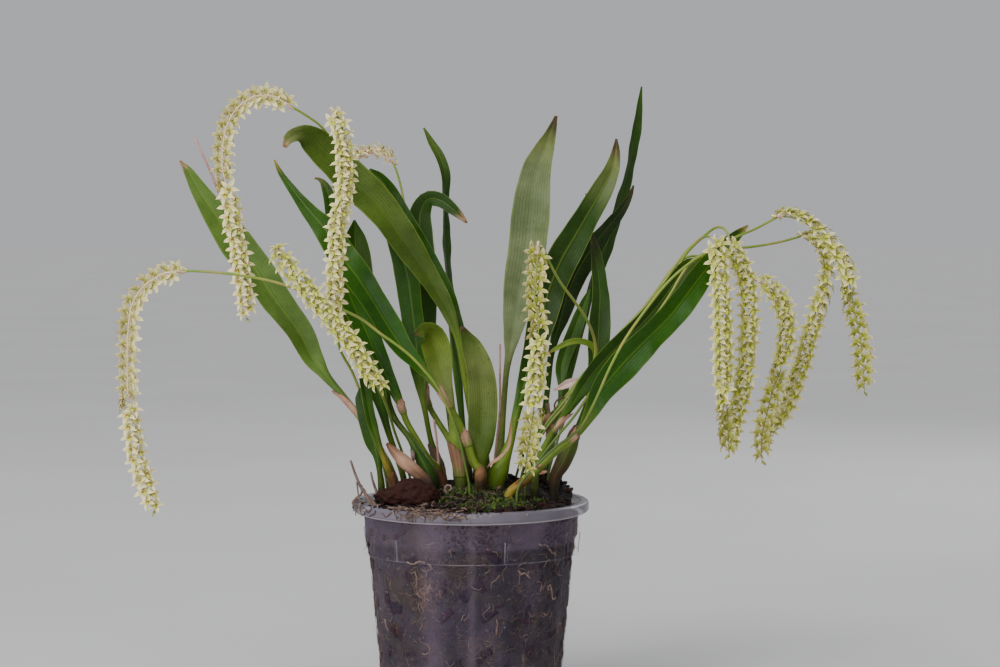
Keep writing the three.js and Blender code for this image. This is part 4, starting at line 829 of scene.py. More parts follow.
crumbs = Heap()
for order in range(CRUMBS + RIM_CRUMBS):
    angle = rng.uniform(0, 2 * math.pi)
    if order < CRUMBS:
        x, y = HEAP_REACH * MM * math.sqrt(rng.uniform()) * np.array([math.cos(angle), math.sin(angle)])
        centre = np.array([x, y, ground_height(x, y) + rng.uniform(*CRUMB_RISE) * MM])
        length = rng.uniform(*CRUMB_LENGTHS) * MM
    else:
        angle = math.radians(rng.normal(*RIM_CRUMB_ANGLES))
        centre = around(rng.uniform(*RIM_BAND) * MM, angle, (RIM_TOP - 0.4) * MM)
        length = rng.uniform(*RIM_CRUMB_LENGTHS) * MM
    size = length * np.array([1, rng.uniform(0.4, 0.8), rng.uniform(0.2, 0.5)])
    turn = turned_about((0, 0, 1), rng.uniform(0, 6.28)) @ turned_about((1, 0, 0), rng.normal(0, 0.6))
    crumbs.put((chip_points * size) @ turn.T + centre, chip_faces, rng.uniform(0.2, 1.0))
for order in range(WALL_SPECKS):
    angle = math.radians(rng.normal(*SPECK_ANGLES[order % 3 == 0]))
    height = rng.normal(*SPECK_HEIGHTS)
    reach = (inner_wall(height) - WALL_GAP) * MM
    size = np.array([0.3, rng.uniform(0.6, 1.8), rng.uniform(0.4, 1.1)]) * MM
    turn = turned_about((0, 0, 1), angle) @ turned_about((1, 0, 0), rng.uniform(0, 3))
    centre = around(reach, angle, min(height, SPECK_TOP) * MM)
    crumbs.put((chip_points * size) @ turn.T + centre, chip_faces, 1.0)
piece = crumbs.piece("crumbs", [bark])


# Moss: feathery sprigs of green moss on the heap, thickest in front and at the right. One sprig is built
# of thin cones and copied.
MOSS_SEED = 8
# Patches: the middle of each in x and y, how far it spreads, and how many sprigs it has
MOSS_PATCHES = [
    (6, -46, 6, 210), (26, -42, 7, 240), (20, -30, 7, 170), (13, -38, 6, 140), (-8, -34, 9, 110),
    (44, -20, 6, 60), (-2, 40, 14, 110), (-38, 8, 8, 50), (0, -12, 14, 120), (30, 20, 14, 90),
    (-6, -16, 7, 70), (36, -6, 6, 60),
]
MOSS_LEAFLETS = 11
MOSS_BRIGHT = linear(92, 122, 18)
MOSS_DARK = linear(20, 28, 10)

bpy.ops.object.select_all(action="DESELECT")
for leaflet in range(MOSS_LEAFLETS):
    share = leaflet / (MOSS_LEAFLETS - 1)
    lean = 0.0 if leaflet == MOSS_LEAFLETS - 1 else 0.95
    bpy.ops.mesh.primitive_cone_add(
        vertices=3, radius1=0.32 * MM, depth=(2.4 - share) * MM, location=(0, 0, (0.4 + 3.4 * share) * MM),
        rotation=(lean, 0, leaflet * 2.4), end_fill_type="NGON",
    )
for piece in bpy.data.objects:
    piece.select_set(piece.name.startswith("Cone"))
bpy.ops.object.join()
bpy.ops.object.transform_apply(location=True, rotation=True, scale=True)
sprig_points, sprig_faces = taken_from(bpy.context.object)

moss = Heap()
rng = np.random.default_rng(MOSS_SEED)
for x, y, spread, count in MOSS_PATCHES:
    for _ in range(count):
        spot = np.array([rng.normal(x, spread), rng.normal(y, spread)])
        spot *= min(1, HEAP_REACH / np.hypot(*spot))
        foot = np.array([*spot * MM, mix_height(*(spot * MM)) - 0.6 * MM])
        turn = turned_about((0, 0, 1), rng.uniform(0, 6.28)) @ turned_about((1, 0, 0), rng.uniform(0.2, 1.35))
        size = rng.uniform(0.5, 1.05)
        rise = np.clip(sprig_points[:, 2] / (4 * MM), 0, 1) * 0.5
        shades = rise + rng.uniform(-0.4, 0.5) - 0.15 * (spread > 8)
        moss.put(sprig_points * size @ turn.T + foot, sprig_faces, shades)

moss_finish = Finish("moss", Roughness=0.7)
shade = moss_finish.painted("shade")
colour = moss_finish.blended(shade, MOSS_DARK, MOSS_BRIGHT)
dead = moss_finish.patches(0.5, 0.66, 110, 3, to_low=0, to_high=0.8)
moss_finish.wire("Base Color", moss_finish.blended(dead, colour, ROOT_BROWN))
piece = moss.piece("moss", [moss_finish], smooth=False)


# Leafy shoots: each is a narrow green pseudobulb that runs into one long leaf with a channelled stalk, a
# sunken midrib and waved edges. One skin covers bulb, stalk and blade, and dry papery sheaths wrap its
# lower end. A row gives x, z, depth, half the width and the turn of the blade in degrees, as in the
# layout; the first stem_rows rows are round. A tint is a row's number and the colour there.
SHOOTS = [
    dict(
        stem_rows=5, wave=0.7, gloss=0.45, speckle=0.1,
        rows=[
            (-43, 127, 14, 3.2, 0), (-46, 139, 15, 2.6, 0), (-54, 153, 18, 1.6, 0),
            (-62.5, 167, 22, 1.6, 0), (-71.5, 178.5, 25, 1.8, 5), (-79.5, 187.5, 28, 2.8, 10),
            (-87, 198.5, 31, 5.8, 15), (-94, 212.5, 35, 7.4, 15), (-107.5, 231, 41, 8.6, 15),
            (-117, 245.5, 45, 9.2, 12), (-128, 260, 49, 9.4, 10), (-137, 272.5, 52, 7.8, 5),
            (-149.5, 291, 56, 4.6, 0), (-155, 300.5, 58, 2.7, -5), (-159.5, 306.5, 59, 0.5, -5),
        ],
        tints=[
            (0, "tan"), (1.5, "lime"), (4, "sage"), (7, "sage"), (10, "sage"), (13.2, "sage"),
            (13.7, "blush"), (14, "rust"),
        ],
        sheaths=[(2.6, 4.2, "blush")],
    ),
    dict(
        stem_rows=2, wave=1.1, gloss=0.4, speckle=0.2,
        rows=[
            (-49.5, 127.5, -12, 2, 0), (-50.5, 136, -13, 1.6, 0), (-51.5, 143, -14, 2.4, -20),
            (-53.5, 150, -15, 4.2, -25), (-56, 159, -15, 5, -20), (-58.5, 168, -14, 4.8, -15),
            (-60.5, 176, -12, 3.8, -10), (-61, 181.5, -10, 0.6, -10),
        ],
        tints=[(0, "lime"), (1.5, "moss"), (5, "fern"), (7, "fern")],
    ),
    dict(
        stem_rows=3, wave=0.4, gloss=0.5, speckle=0.1,
        rows=[
            (-43, 128, -16, 1.8, 0), (-46.5, 138, -17, 1.6, 0), (-49.5, 146.5, -18, 1.6, 0),
            (-52, 153.5, -19, 2.2, 10), (-54.5, 162, -20, 3, 20), (-56.5, 171.5, -21, 2.9, 20),
            (-58, 181.5, -22, 3, 20), (-60, 190.5, -22, 2.4, 20), (-62, 197, -21, 0.6, 20),
        ],
        tints=[(0, "rust"), (1.2, "straw"), (2.4, "olive"), (4, "moss"), (8, "fern")],
        sheaths=[(-1, 0.5, "rust")],
    ),
    dict(
        stem_rows=3, wave=0.5, gloss=0.4, speckle=0.2,
        rows=[
            (-37, 130, 2, 1.8, 0), (-42, 146.5, 1, 1.6, 0), (-45.5, 157, 0, 1.8, 0),
            (-48.5, 168, -2, 2.6, -10), (-51, 178, -4, 4.6, -15), (-54.5, 188, -5, 5.2, -15),
            (-59.5, 200, -4, 4.2, -15), (-62.5, 208, -3, 0.6, -15),
        ],
        tints=[(0, "lime"), (3, "moss"), (5, "moss"), (7, "fern")],
    ),
    dict(
        stem_rows=5, wave=0.8, gloss=0.5, speckle=0.2,
        rows=[
            (-21.5, 128, -8, 3.9, 0), (-25, 137.5, -8, 4.2, 0), (-29.5, 146, -7, 2.8, 0),
            (-34, 154, -4, 1.7, 0), (-41, 163, 1, 1.7, 0), (-45.5, 171, 5, 2.6, 5),
            (-50, 182, 10, 4.8, 10), (-56.5, 200, 17, 8, 15), (-60.5, 218, 23, 9.6, 15),
            (-62.5, 235, 28, 9.8, 15), (-63, 252, 32, 8.4, 10), (-63.5, 264, 34, 6, 5),
            (-64, 274, 35.5, 0.6, 0),
        ],
        tints=[(0, "fern"), (2, "moss"), (4, "olive"), (8, "olive"), (12, "moss")],
    ),
    dict(
        stem_rows=6, wave=0.5, gloss=0.85, speckle=0,
        rows=[
            (-15.5, 128, 2, 2.6, 0), (-18.5, 136, 2, 2.7, 0), (-24, 142.5, 1, 2.3, 0),
            (-29.5, 152.5, 1, 1.7, 0), (-35.5, 163, 1, 1.7, 0), (-38.5, 171.5, 1, 2, 5),
            (-41.5, 178.5, 2, 3, 10), (-46, 187.5, 3, 4.3, 15), (-51.5, 199.5, 5, 5.9, 15),
            (-57.5, 213.5, 7, 6.7, 15), (-65.5, 231, 10, 6.6, 15), (-71, 251, 13, 5.6, 10),
            (-74.5, 267.5, 16, 4.4, 10), (-79, 290.5, 19, 2.9, 5), (-82.5, 296, 20, 1.2, 0),
            (-85.8, 297, 20, 0.5, 0),
        ],
        tints=[
            (0, "brown"), (2, "lime"), (4.5, "lime"), (6, "fresh"), (10, "fresh"), (13, "moss"),
            (14, "khaki"), (15, "tan"),
        ],
        sheaths=[(-1, 1.1, "rust"), (4.5, 5.4, "blush")],
    ),
    dict(
        stem_rows=6, wave=0.5, gloss=0.9, speckle=0,
        rows=[
            (6, 127, -16, 2.6, 0), (6, 134, -16, 2.8, 0), (1.5, 140.5, -16, 2.3, 0),
            (-2.5, 153, -17, 2.1, 0), (-7, 163.5, -18, 1.6, 0), (-17, 179.5, -20, 1.8, 0),
            (-22, 186, -20, 2.2, 5), (-28, 193, -20, 3.3, 10), (-37, 203.5, -19, 5.6, 15),
            (-44.5, 215, -18, 7.2, 18), (-53.5, 230, -16, 7.4, 18), (-62, 243, -14, 8, 15),
            (-70, 253.5, -11, 8, 10), (-78.5, 267, -8, 7, 0), (-88.5, 278.5, -5, 4.5, -10),
            (-97.5, 290, -2, 2.5, -10), (-104.5, 300, 0, 1.5, -10), (-107.8, 307, 1, 0.5, -10),
        ],
        tints=[
            (0, "rust"), (2, "lime"), (5, "lime"), (7, "fresh"), (11, "fresh"), (13, "moss"), (16, "moss"),
            (17, "straw"),
        ],
        sheaths=[(2.7, 3.5, "blush"), (4.4, 5.3, "blush")],
    ),
    dict(
        stem_rows=5, wave=0.6, gloss=0.6, speckle=0,
        rows=[
            (-16.5, 128.5, 18, 2.8, 0), (-17, 137, 18, 3, 0), (-20, 145, 18, 2.2, 0),
            (-22.5, 154, 19, 1.5, 0), (-25, 167, 18, 1.5, 0), (-26.5, 175.5, 18, 2, -5),
            (-28, 184, 19, 3.3, -10), (-29.5, 195, 21, 4.8, -15), (-31, 210, 25, 6.2, -15),
            (-33, 226, 27, 6.5, -15), (-35, 241, 29, 6.7, -15), (-38.5, 255, 31, 6, -15),
            (-43.5, 268, 33, 4.4, -10), (-48.5, 277, 34, 2.4, -10), (-52, 282, 35, 0.5, -10),
        ],
        tints=[(0, "tan"), (2, "moss"), (4.5, "lime"), (7, "fresh"), (12, "moss"), (14, "olive")],
        sheaths=[(1.2, 2.6, "dun")],
    ),
    dict(
        stem_rows=6, wave=0.9, gloss=0.4, speckle=0.2,
        rows=[
            (-3.5, 129, 8, 4.3, 0), (-4, 137, 8, 4.6, 0), (-8, 145, 9, 3.2, 0), (-12.5, 154, 14, 1.8, 0),
            (-18.5, 163.5, 20, 1.6, 0), (-23.5, 172.5, 26, 1.7, 0), (-26, 181.5, 29, 2.6, 5),
            (-26.5, 197, 32, 5, 10), (-26.5, 213.5, 36, 7.2, 15), (-27, 230, 40, 8.4, 15),
            (-27.5, 249, 44, 8.2, 10), (-28, 266, 48, 7.2, 5), (-27.5, 279, 50, 5.8, 0),
            (-23.5, 285.5, 49, 4.4, 0), (-17, 285, 46, 4, 0), (-10.5, 280.5, 43, 3.2, 0),
            (-5, 275.5, 41, 1.8, 0), (-2.2, 272.5, 40, 0.5, 0),
        ],
        tints=[
            (0, "tan"), (3, "lime"), (6, "olive"), (8, "moss"), (12, "fern"), (15.5, "fern"),
            (16.3, "blush"), (17, "rust"),
        ],
        sheaths=[(4.8, 6.2, "blush")],
    ),
    dict(
        stem_rows=5, wave=0.4, gloss=0.4, speckle=0.35,
        rows=[
            (-5.5, 131, -6, 3.4, 0), (-6.5, 141, -6, 3.9, 0), (-8, 152, -6, 4.2, 0),
            (-9.5, 163.5, -5, 2.6, 0), (-10.5, 172, -4, 1.7, 0), (-11.5, 178.5, -3, 2, 0),
            (-14.5, 186, -2, 4.4, 5), (-17, 194, -1, 7, 10), (-19, 203, 0, 8, 10),
            (-21, 209.5, -1, 7.4, 10), (-24, 213, -5, 5.2, 10), (-28, 212.5, -8, 3.2, 5),
            (-31, 210.5, -9, 0.7, 0),
        ],
        tints=[(0, "lime"), (3, "lime"), (5, "khaki"), (8, "lime"), (11, "olive"), (12, "brown")],
        sheaths=[(0.1, 1.9, "tan")],
    ),
    dict(
        stem_rows=4, wave=0.6, gloss=0.5, speckle=0.1,
        rows=[
            (0, 128, 28, 2.2, 0), (-2, 140, 29, 2, 0), (-4.5, 160, 31, 1.6, 10), (-7, 185, 34, 2.4, 30),
            (-9, 205, 38, 3.2, 50), (-11.5, 238, 45, 4, 60), (-13.5, 268, 53, 4, 62),
            (-13.5, 285, 57, 3.6, 60), (-13.8, 299, 60, 3, 40), (-17, 309, 62, 2.6, 10),
            (-21.5, 316.5, 63, 1.9, 0), (-25.8, 324.5, 64, 0.5, 0),
        ],
        tints=[(0, "tan"), (2, "moss"), (5, "fern"), (8, "fern"), (9.5, "olive"), (11, "olive")],
    ),
    dict(
        stem_rows=5, wave=1.1, gloss=0.4, speckle=0.6,
        rows=[
            (4, 131, 3, 2.8, 0), (3.5, 141, 3, 2.6, 0), (2, 155, 3, 1.8, 0), (-1, 172, 4, 1.6, 0),
            (-4, 190, 5, 1.7, 0), (-7, 208, 6, 2, 5), (-12.5, 224, 7, 3.8, 10), (-24.5, 245, 9, 6.4, 15),
            (-37.5, 264.5, 10, 8.3, 15), (-50, 282, 11, 9.6, 15), (-65.5, 297, 11, 10, 15),
            (-76, 308, 10, 9.4, 15), (-84.5, 316, 7, 8.2, 10), (-91, 320.3, 4, 6.2, 5), (-96, 320.8, 1, 4, 0),
            (-99.8, 318.6, -1, 3.2, 0), (-102.2, 314, -2, 1.2, 0),
        ],
        tints=[
            (0, "moss"), (4, "lime"), (6, "olive"), (11, "olive"), (13, "olive"), (14, "khaki"),
            (15.2, "khaki"),
            (15.8, "blush"), (16, "rust"),
        ],
    ),
    dict(
        stem_rows=4, wave=0.6, gloss=0.8, speckle=0,
        rows=[
            (9, 129.5, 12, 2.4, 0), (8, 143, 12, 2.2, 0), (6, 160, 13, 1.7, 0), (2.5, 180, 14, 1.7, 0),
            (-2.5, 201, 15, 2.4, 5), (-8, 218, 17, 3.6, 10), (-14, 234, 19, 4.8, 10),
            (-21.5, 248.5, 21, 5.2, 10), (-30, 263, 22, 5.4, 10), (-38, 277, 24, 5.2, 10),
            (-44.5, 289, 25, 4.6, 10), (-50.5, 297.5, 26, 3, 5), (-55.5, 302, 26, 0.6, 0),
        ],
        tints=[(0, "lime"), (4, "moss"), (7, "fresh"), (10, "moss"), (12, "moss")],
    ),
    dict(
        stem_rows=2, wave=1, gloss=0.45, speckle=0.9,
        rows=[
            (5, 131, -9, 3, 0), (5, 140, -9, 3.6, 0), (5.5, 152, -9, 7, 5), (6.5, 167, -9, 8.2, 5),
            (6.5, 180, -9, 8, 5), (4.5, 193, -10, 7.4, 5), (0.5, 204, -11, 5.8, 0), (-3, 211, -12, 3, 0),
            (-5, 215.5, -13, 1, 0),
        ],
        tints=[(0, "lime"), (2, "olive"), (5, "khaki"), (6.8, "olive"), (7.6, "umber"), (8, "brown")],
    ),
    dict(
        stem_rows=5, wave=1, gloss=0.35, speckle=0.5,
        rows=[
            (15, 131, 14, 3, 0), (15.5, 143, 14, 2.8, 0), (17, 156, 15, 1.8, 0), (18, 171, 16, 1.6, 0),
            (19.5, 190, 18, 1.7, 0), (21, 200, 20, 2.4, -5), (22.5, 210, 22, 4.6, -10),
            (25, 225, 25, 7.8, -12), (28, 241, 28, 9.8, -12), (30.5, 256, 32, 10.6, -12),
            (32.5, 273, 36, 10.8, -12), (34, 290, 40, 9.6, -10), (36.5, 303, 43, 8, -10),
            (40, 312, 45, 5.6, -5), (44, 322, 47, 3, 0), (46.8, 331, 49, 0.8, 0),
        ],
        tints=[
            (0, "lime"), (4, "khaki"), (6, "grey"), (12, "grey"), (13.6, "khaki"), (14.4, "umber"),
            (15, "brown"),
        ],
    ),
    dict(
        stem_rows=5, wave=0.8, gloss=0.75, speckle=0.2, foot_darkening=0.5,
        rows=[
            (13.5, 127, -2, 4.6, 0), (15.5, 135, -2, 5.3, 0), (18.5, 143, -2, 3.6, 0),
            (22, 153, -2, 2.3, 0), (24, 163, -1, 2.3, 0), (26.5, 173.5, 1, 2.8, 5),
            (29.5, 184.5, 4, 4, 10), (34, 201, 9, 6, 15), (39, 219, 14, 8, 15), (44, 237, 19, 8.8, 15),
            (50.5, 252.5, 24, 9, 15), (58, 266, 29, 8, 10), (65.5, 279, 33, 6.8, 10),
            (72, 290.5, 37, 6, 5), (77.5, 302, 40, 4.2, 0), (79.5, 311.5, 42, 2.4, 0),
            (79.8, 318.5, 43, 0.6, 0),
        ],
        tints=[
            (0, "apple"), (1.6, "apple"), (3, "lime"), (5, "moss"), (8, "deep"), (12, "fern"),
            (14.4, "khaki"), (15.4, "brown"), (16, "umber"),
        ],
    ),
    dict(
        stem_rows=6, wave=0.9, gloss=0.5, speckle=0.1,
        rows=[
            (31, 130, 16, 3, 0), (33, 143, 17, 2.8, 0), (37.5, 155, 18, 1.8, 0), (40.5, 168, 20, 1.6, 0),
            (42.5, 184, 23, 1.6, 0), (44, 199, 26, 1.8, 0), (46.5, 210, 29, 2.6, 10),
            (50, 221, 32, 4.4, 20), (54, 234, 36, 5.8, 20), (60, 247, 41, 6.2, 20), (68, 260, 47, 5.6, 20),
            (76, 270.5, 51, 4, 15), (83, 279.5, 51, 2.6, 10), (87.5, 287.5, 53, 1.4, 0),
            (89.3, 293, 54, 0.5, 0),
        ],
        tints=[(0, "lime"), (4, "moss"), (7, "deep"), (12, "deep"), (13.2, "umber"), (14, "brown")],
    ),
    dict(
        stem_rows=4, wave=0.6, gloss=0.5, speckle=0.2,
        rows=[
            (40, 130, 30, 2.4, 0), (43, 145, 31, 2, 0), (48, 165, 34, 1.7, 10), (54.5, 190, 39, 2, 25),
            (60.5, 215, 45, 2.8, 40), (66, 235, 50, 3.6, 48), (72, 251, 54, 4.2, 50),
            (77, 264, 58, 4.4, 50), (81, 278, 62, 4.4, 50), (87.5, 302.5, 69, 4, 50),
            (90, 317, 73, 3.6, 50), (92, 331.5, 77, 2.8, 40), (93.6, 347, 82, 0.5, 30),
        ],
        tints=[(0, "lime"), (3, "moss"), (6, "fern"), (10, "fern"), (12, "moss")],
    ),
    dict(
        stem_rows=3, wave=0.8, gloss=0.4, speckle=0.2,
        rows=[
            (47, 130, 20, 2.8, 0), (51, 143, 20, 2.6, 0), (57.5, 155, 20, 1.8, 0), (63.5, 168, 21, 2.2, 5),
            (67.5, 180, 22, 3.6, 10), (69.5, 194, 24, 5.4, 15), (70.5, 207, 26, 6.2, 15),
            (71, 220, 29, 6, 15), (71.5, 233, 32, 5.2, 20), (70.5, 245, 35, 4.2, 30),
            (68.5, 256.5, 38, 3.4, 45), (66, 269, 41, 2.6, 60), (64.5, 279.5, 44, 1.8, 60),
            (63.3, 288.5, 46, 0.5, 60),
        ],
        tints=[(0, "lime"), (3, "moss"), (6, "fern"), (9, "fern"), (11, "umber"), (13, "umber")],
    ),
    dict(
        stem_rows=5, wave=0.4, gloss=0.5, speckle=0.1,
        rows=[
            (36, 129.5, 4, 3.4, 0), (38, 139, 4, 4, 0), (42.5, 149, 4, 2.4, 0), (47.5, 161, 5, 1.6, 0),
            (49.5, 174, 7, 1.6, 0), (50, 183.5, 9, 2.2, 0), (49.8, 192, 11, 3.4, 5),
            (52, 200.5, 13, 4, 10), (56, 210, 15, 4.2, 15), (59.5, 220, 17, 3.6, 15),
            (62.5, 228.5, 18, 2.4, 10), (65.5, 236, 19, 0.6, 5),
        ],
        tints=[(0, "lime"), (4, "moss"), (8, "fern"), (11, "moss")],
    ),
    dict(
        stem_rows=3, wave=0.2, gloss=0.5, speckle=0,
        rows=[
            (48, 130, 10, 2, 0), (54, 148, 9, 1.6, 0), (61, 165, 8, 1.6, 0), (66.5, 180, 7, 1.6, 0),
            (68.5, 193, 6, 1.6, 0), (68.5, 202, 5, 1.7, 0), (65, 206, 4, 1.7, 0), (58.5, 207.5, 3, 1.7, 0),
            (52, 206, 2, 1.6, 0), (46.5, 203, 1, 1.2, 0), (43, 201, 0, 0.5, 0),
        ],
        tints=[(0, "moss"), (3, "moss"), (8, "lime"), (9.2, "lime"), (10, "rust")],
    ),
    dict(
        stem_rows=5, wave=0.9, gloss=0.95, speckle=0, foot_darkening=0.15,
        rows=[
            (21, 123, -24, 2.4, 0), (28, 129, -24, 2.6, 0), (36, 136, -25, 2.2, 0),
            (46.5, 146, -27, 1.9, 0), (55, 152.5, -29, 1.9, 0), (60.5, 158.5, -30, 2.2, 10),
            (66, 168, -31, 4, 15), (72, 179.5, -32, 7, 20), (80.5, 190, -33, 8.8, 20),
            (90, 200.5, -33, 8.6, 20), (99, 209.5, -33, 8, 20), (109, 219.5, -32, 7.6, 20),
            (118.5, 231.5, -31, 7.5, 20), (126, 242, -29, 7, 15), (133, 251, -27, 6, 10),
            (140, 259.5, -25, 4.4, 10), (146.5, 266, -23, 2.8, 10), (152.3, 271, -22, 0.6, 10),
        ],
        tints=[
            (0, "straw"), (0.5, "straw"), (0.9, "rust"), (1.1, "brown"), (1.3, "amber"), (1.9, "lime"),
            (4.5, "lime"), (6.5, "fresh"), (12, "fresh"),
            (16.3, "moss"), (16.7, "straw"), (17, "blush"),
        ],
        sheaths=[(3.9, 4.9, "blush")],
    ),
    dict(
        stem_rows=4, wave=0.6, gloss=0.6, speckle=0.1,
        rows=[
            (35, 130, -10, 2.4, 0), (36.5, 140, -10, 2.2, 0), (42.5, 152.5, -12, 1.7, 0),
            (49.5, 163.5, -14, 1.8, 5), (56.5, 174, -16, 3, 10), (64, 185, -18, 4.6, 15),
            (73, 196, -19, 5.4, 15), (84, 207, -19.5, 5.6, 15), (95, 217.5, -19.5, 5.6, 15),
            (104.5, 228.5, -19, 5.4, 15), (112.5, 240, -18, 4.8, 10), (119, 249, -17, 3.6, 5),
            (127, 253, -16, 0.6, 0),
        ],
        tints=[(0, "lime"), (4, "moss"), (7, "fern"), (10, "fern"), (12, "olive")],
        sheaths=[(2.4, 3.5, "blush")],
    ),
    dict(
        stem_rows=5, wave=0, gloss=0.4, speckle=0.3,
        rows=[
            (46, 131, -6, 3.2, 0), (50.5, 140, -6, 4.4, 0), (54.5, 149, -6, 4.4, 0), (57, 156, -6, 3, 0),
            (58.5, 161, -6, 1, 0),
        ],
        tints=[(0, "brown"), (1, "umber"), (2.2, "olive"), (3.2, "dun"), (4, "tan")],
        sheaths=[(2.7, 4.1, "tan")],
    ),
]
LEAF_COLOURS = {
    "fresh": linear(42, 88, 0), "moss": linear(48, 84, 8), "fern": linear(42, 72, 16),
    "deep": linear(34, 56, 14), "olive": linear(74, 96, 24), "khaki": linear(116, 124, 66),
    "grey": linear(108, 118, 80), "lime": linear(116, 136, 44), "apple": linear(116, 142, 40),
    "straw": linear(168, 140, 52), "amber": linear(140, 92, 46), "tan": linear(128, 92, 64),
    "blush": linear(190, 146, 120), "pink": linear(182, 118, 98), "dun": linear(98, 78, 56),
    "rust": linear(124, 66, 30), "brown": linear(84, 52, 34), "umber": linear(66, 58, 30),
    "sage": linear(92, 120, 44), "ash": linear(156, 128, 122), "shell": linear(232, 200, 190),
}
EARTH_AND_SHADE = linear(30, 27, 14)
LEAF_SPOTS = linear(50, 38, 22)
LEAF_MOTTLE = (0.55, 0.62, 0.5)
LEAF_NERVES = (0.36, 0.4, 0.34)
PAPER_RIBS = (0.42, 0.34, 0.3)
SPECKLED_RIB = 0.05
PLAIN_RIB = 0.28
LEAF_THICKNESS = 0.9
LEAF_CHANNEL = 0.16
STEM_FLATNESS = 0.9
ROOTED_DEPTH = 9
UV_LENGTH = 0.1
FOOT_DARKENING_TOP = (138, 151)
FOOT_DARKENING_UNEVEN = 22
WAVE_STEP = 6.2
MIDRIB_HALF = 0.55
MIDRIB_GROOVE = 0.3
MIDRIB_KEEL = 0.35
SKIN_AROUND = 28
SKIN_STEP = 2.3
SHEATH_AROUND = 22
SHEATH_ALONG = 12
SHEATH_THICKNESS = 0.2
SHEATH_STANDOFF = 0.25


def rooted_line(rows):
    """The line of a shoot or a stalk, carried straight down from its first point into the mix."""
    points = placed([row[:3] for row in rows])
    foot = points[0].copy()
    foot[2] = mix_height(foot[0], foot[1]) - ROOTED_DEPTH * MM
    return np.vstack([foot, points])


def row_colours(table, place):
    """Colours at places along the rows, run together between the ones given."""
    rows = [row for row, _ in table]
    values = np.array([LEAF_COLOURS[name] for _, name in table])
    return np.stack([np.interp(place, rows, values[:, i]) for i in range(4)], axis=-1)


def shoot_skin(shoot, seed):
    """The points, faces, UVs and tints of a shoot. U runs round the leaf from edge to edge, V along it."""
    rows, loose = shoot["rows"], shoot.get("loose", 1)
    line = rooted_line(rows)
    if loose < 1:
        line[0] = line[1] + 0.3 * (line[1] - line[2])
    length = even_steps(line, 2)[1]
    rings = max(int(length / (SKIN_STEP * MM)), 24)
    t, length = even_steps(line, rings)
    centre, along, view = line_frames(line, t)
    reach = [1 - depth * MM / EYE[1] for _, _, depth, _, _ in rows]
    halves = [row[3] * r * MM for row, r in zip(rows, reach)]
    turns = [row[4] for row in rows]
    shares = [min(max((i - shoot["stem_rows"] + 1) / 2, 0), 1) for i in range(len(rows))]
    half = np.maximum(smooth_values([halves[0]] + halves, t), 0.35 * MM)
    turn = np.radians(smooth_values([turns[0]] + turns, t))[:, None]
    blade = np.clip(smooth_values([shares[0]] + shares, t), 0, 1)
    side = np.cross(along, view)
    across = side * np.cos(turn) - view * np.sin(turn)
    up = np.cross(across, along)

    angle = np.arange(SKIN_AROUND) * 2 * math.pi / SKIN_AROUND
    x, s = np.cos(angle)[None, :], np.sin(angle)[None, :]
    width, blade = half[:, None], blade[:, None]
    swing = (np.linspace(0, 1, rings) * length / (WAVE_STEP * loose * MM))[:, None]
    round_height = width * STEM_FLATNESS
    thickness = LEAF_THICKNESS * loose / 2 * MM * (1 - 0.35 * x ** 2)
    ripple = shoot["wave"] * MM * np.minimum(1, width / (4 * MM))
    frill = 0.3 * np.sin(2.7 * swing + seed + 2 * x)
    wave = ripple * np.abs(x) ** 1.5 * (np.where(x < 0, np.sin(swing), np.sin(swing + 2)) + frill)
    sink = -LEAF_CHANNEL * 2 * width * (1 - np.abs(x) ** 1.3)
    rib = np.exp(-(x * width / (MIDRIB_HALF * MM)) ** 2) * np.minimum(1, width / (3 * MM))
    rib_height = np.where(s > 0, -MIDRIB_GROOVE, -MIDRIB_KEEL) * MM * rib
    height = s * ((1 - blade) * round_height + blade * thickness) + blade * (sink + wave + rib_height)
    points = centre[:, None] + across[:, None] * (x * width)[..., None] + up[:, None] * height[..., None]

    row_place = t * len(rows) - 1
    uneven = 0.25 * np.sin(5 * angle + seed)[None, :] + 0.15 * np.sin(11 * angle + 2 * seed)[None, :]
    tints = row_colours(shoot["tints"], row_place[:, None] + uneven)
    run = (np.linspace(0, 1, rings) * length / UV_LENGTH)[:, None]
    uv = np.stack(np.broadcast_arrays((x + 1) / 2, run), axis=-1).reshape(-1, 2)
    return points.reshape(-1, 3), tube_faces(rings, SKIN_AROUND), uv, tints.reshape(-1, 4), half, t, line


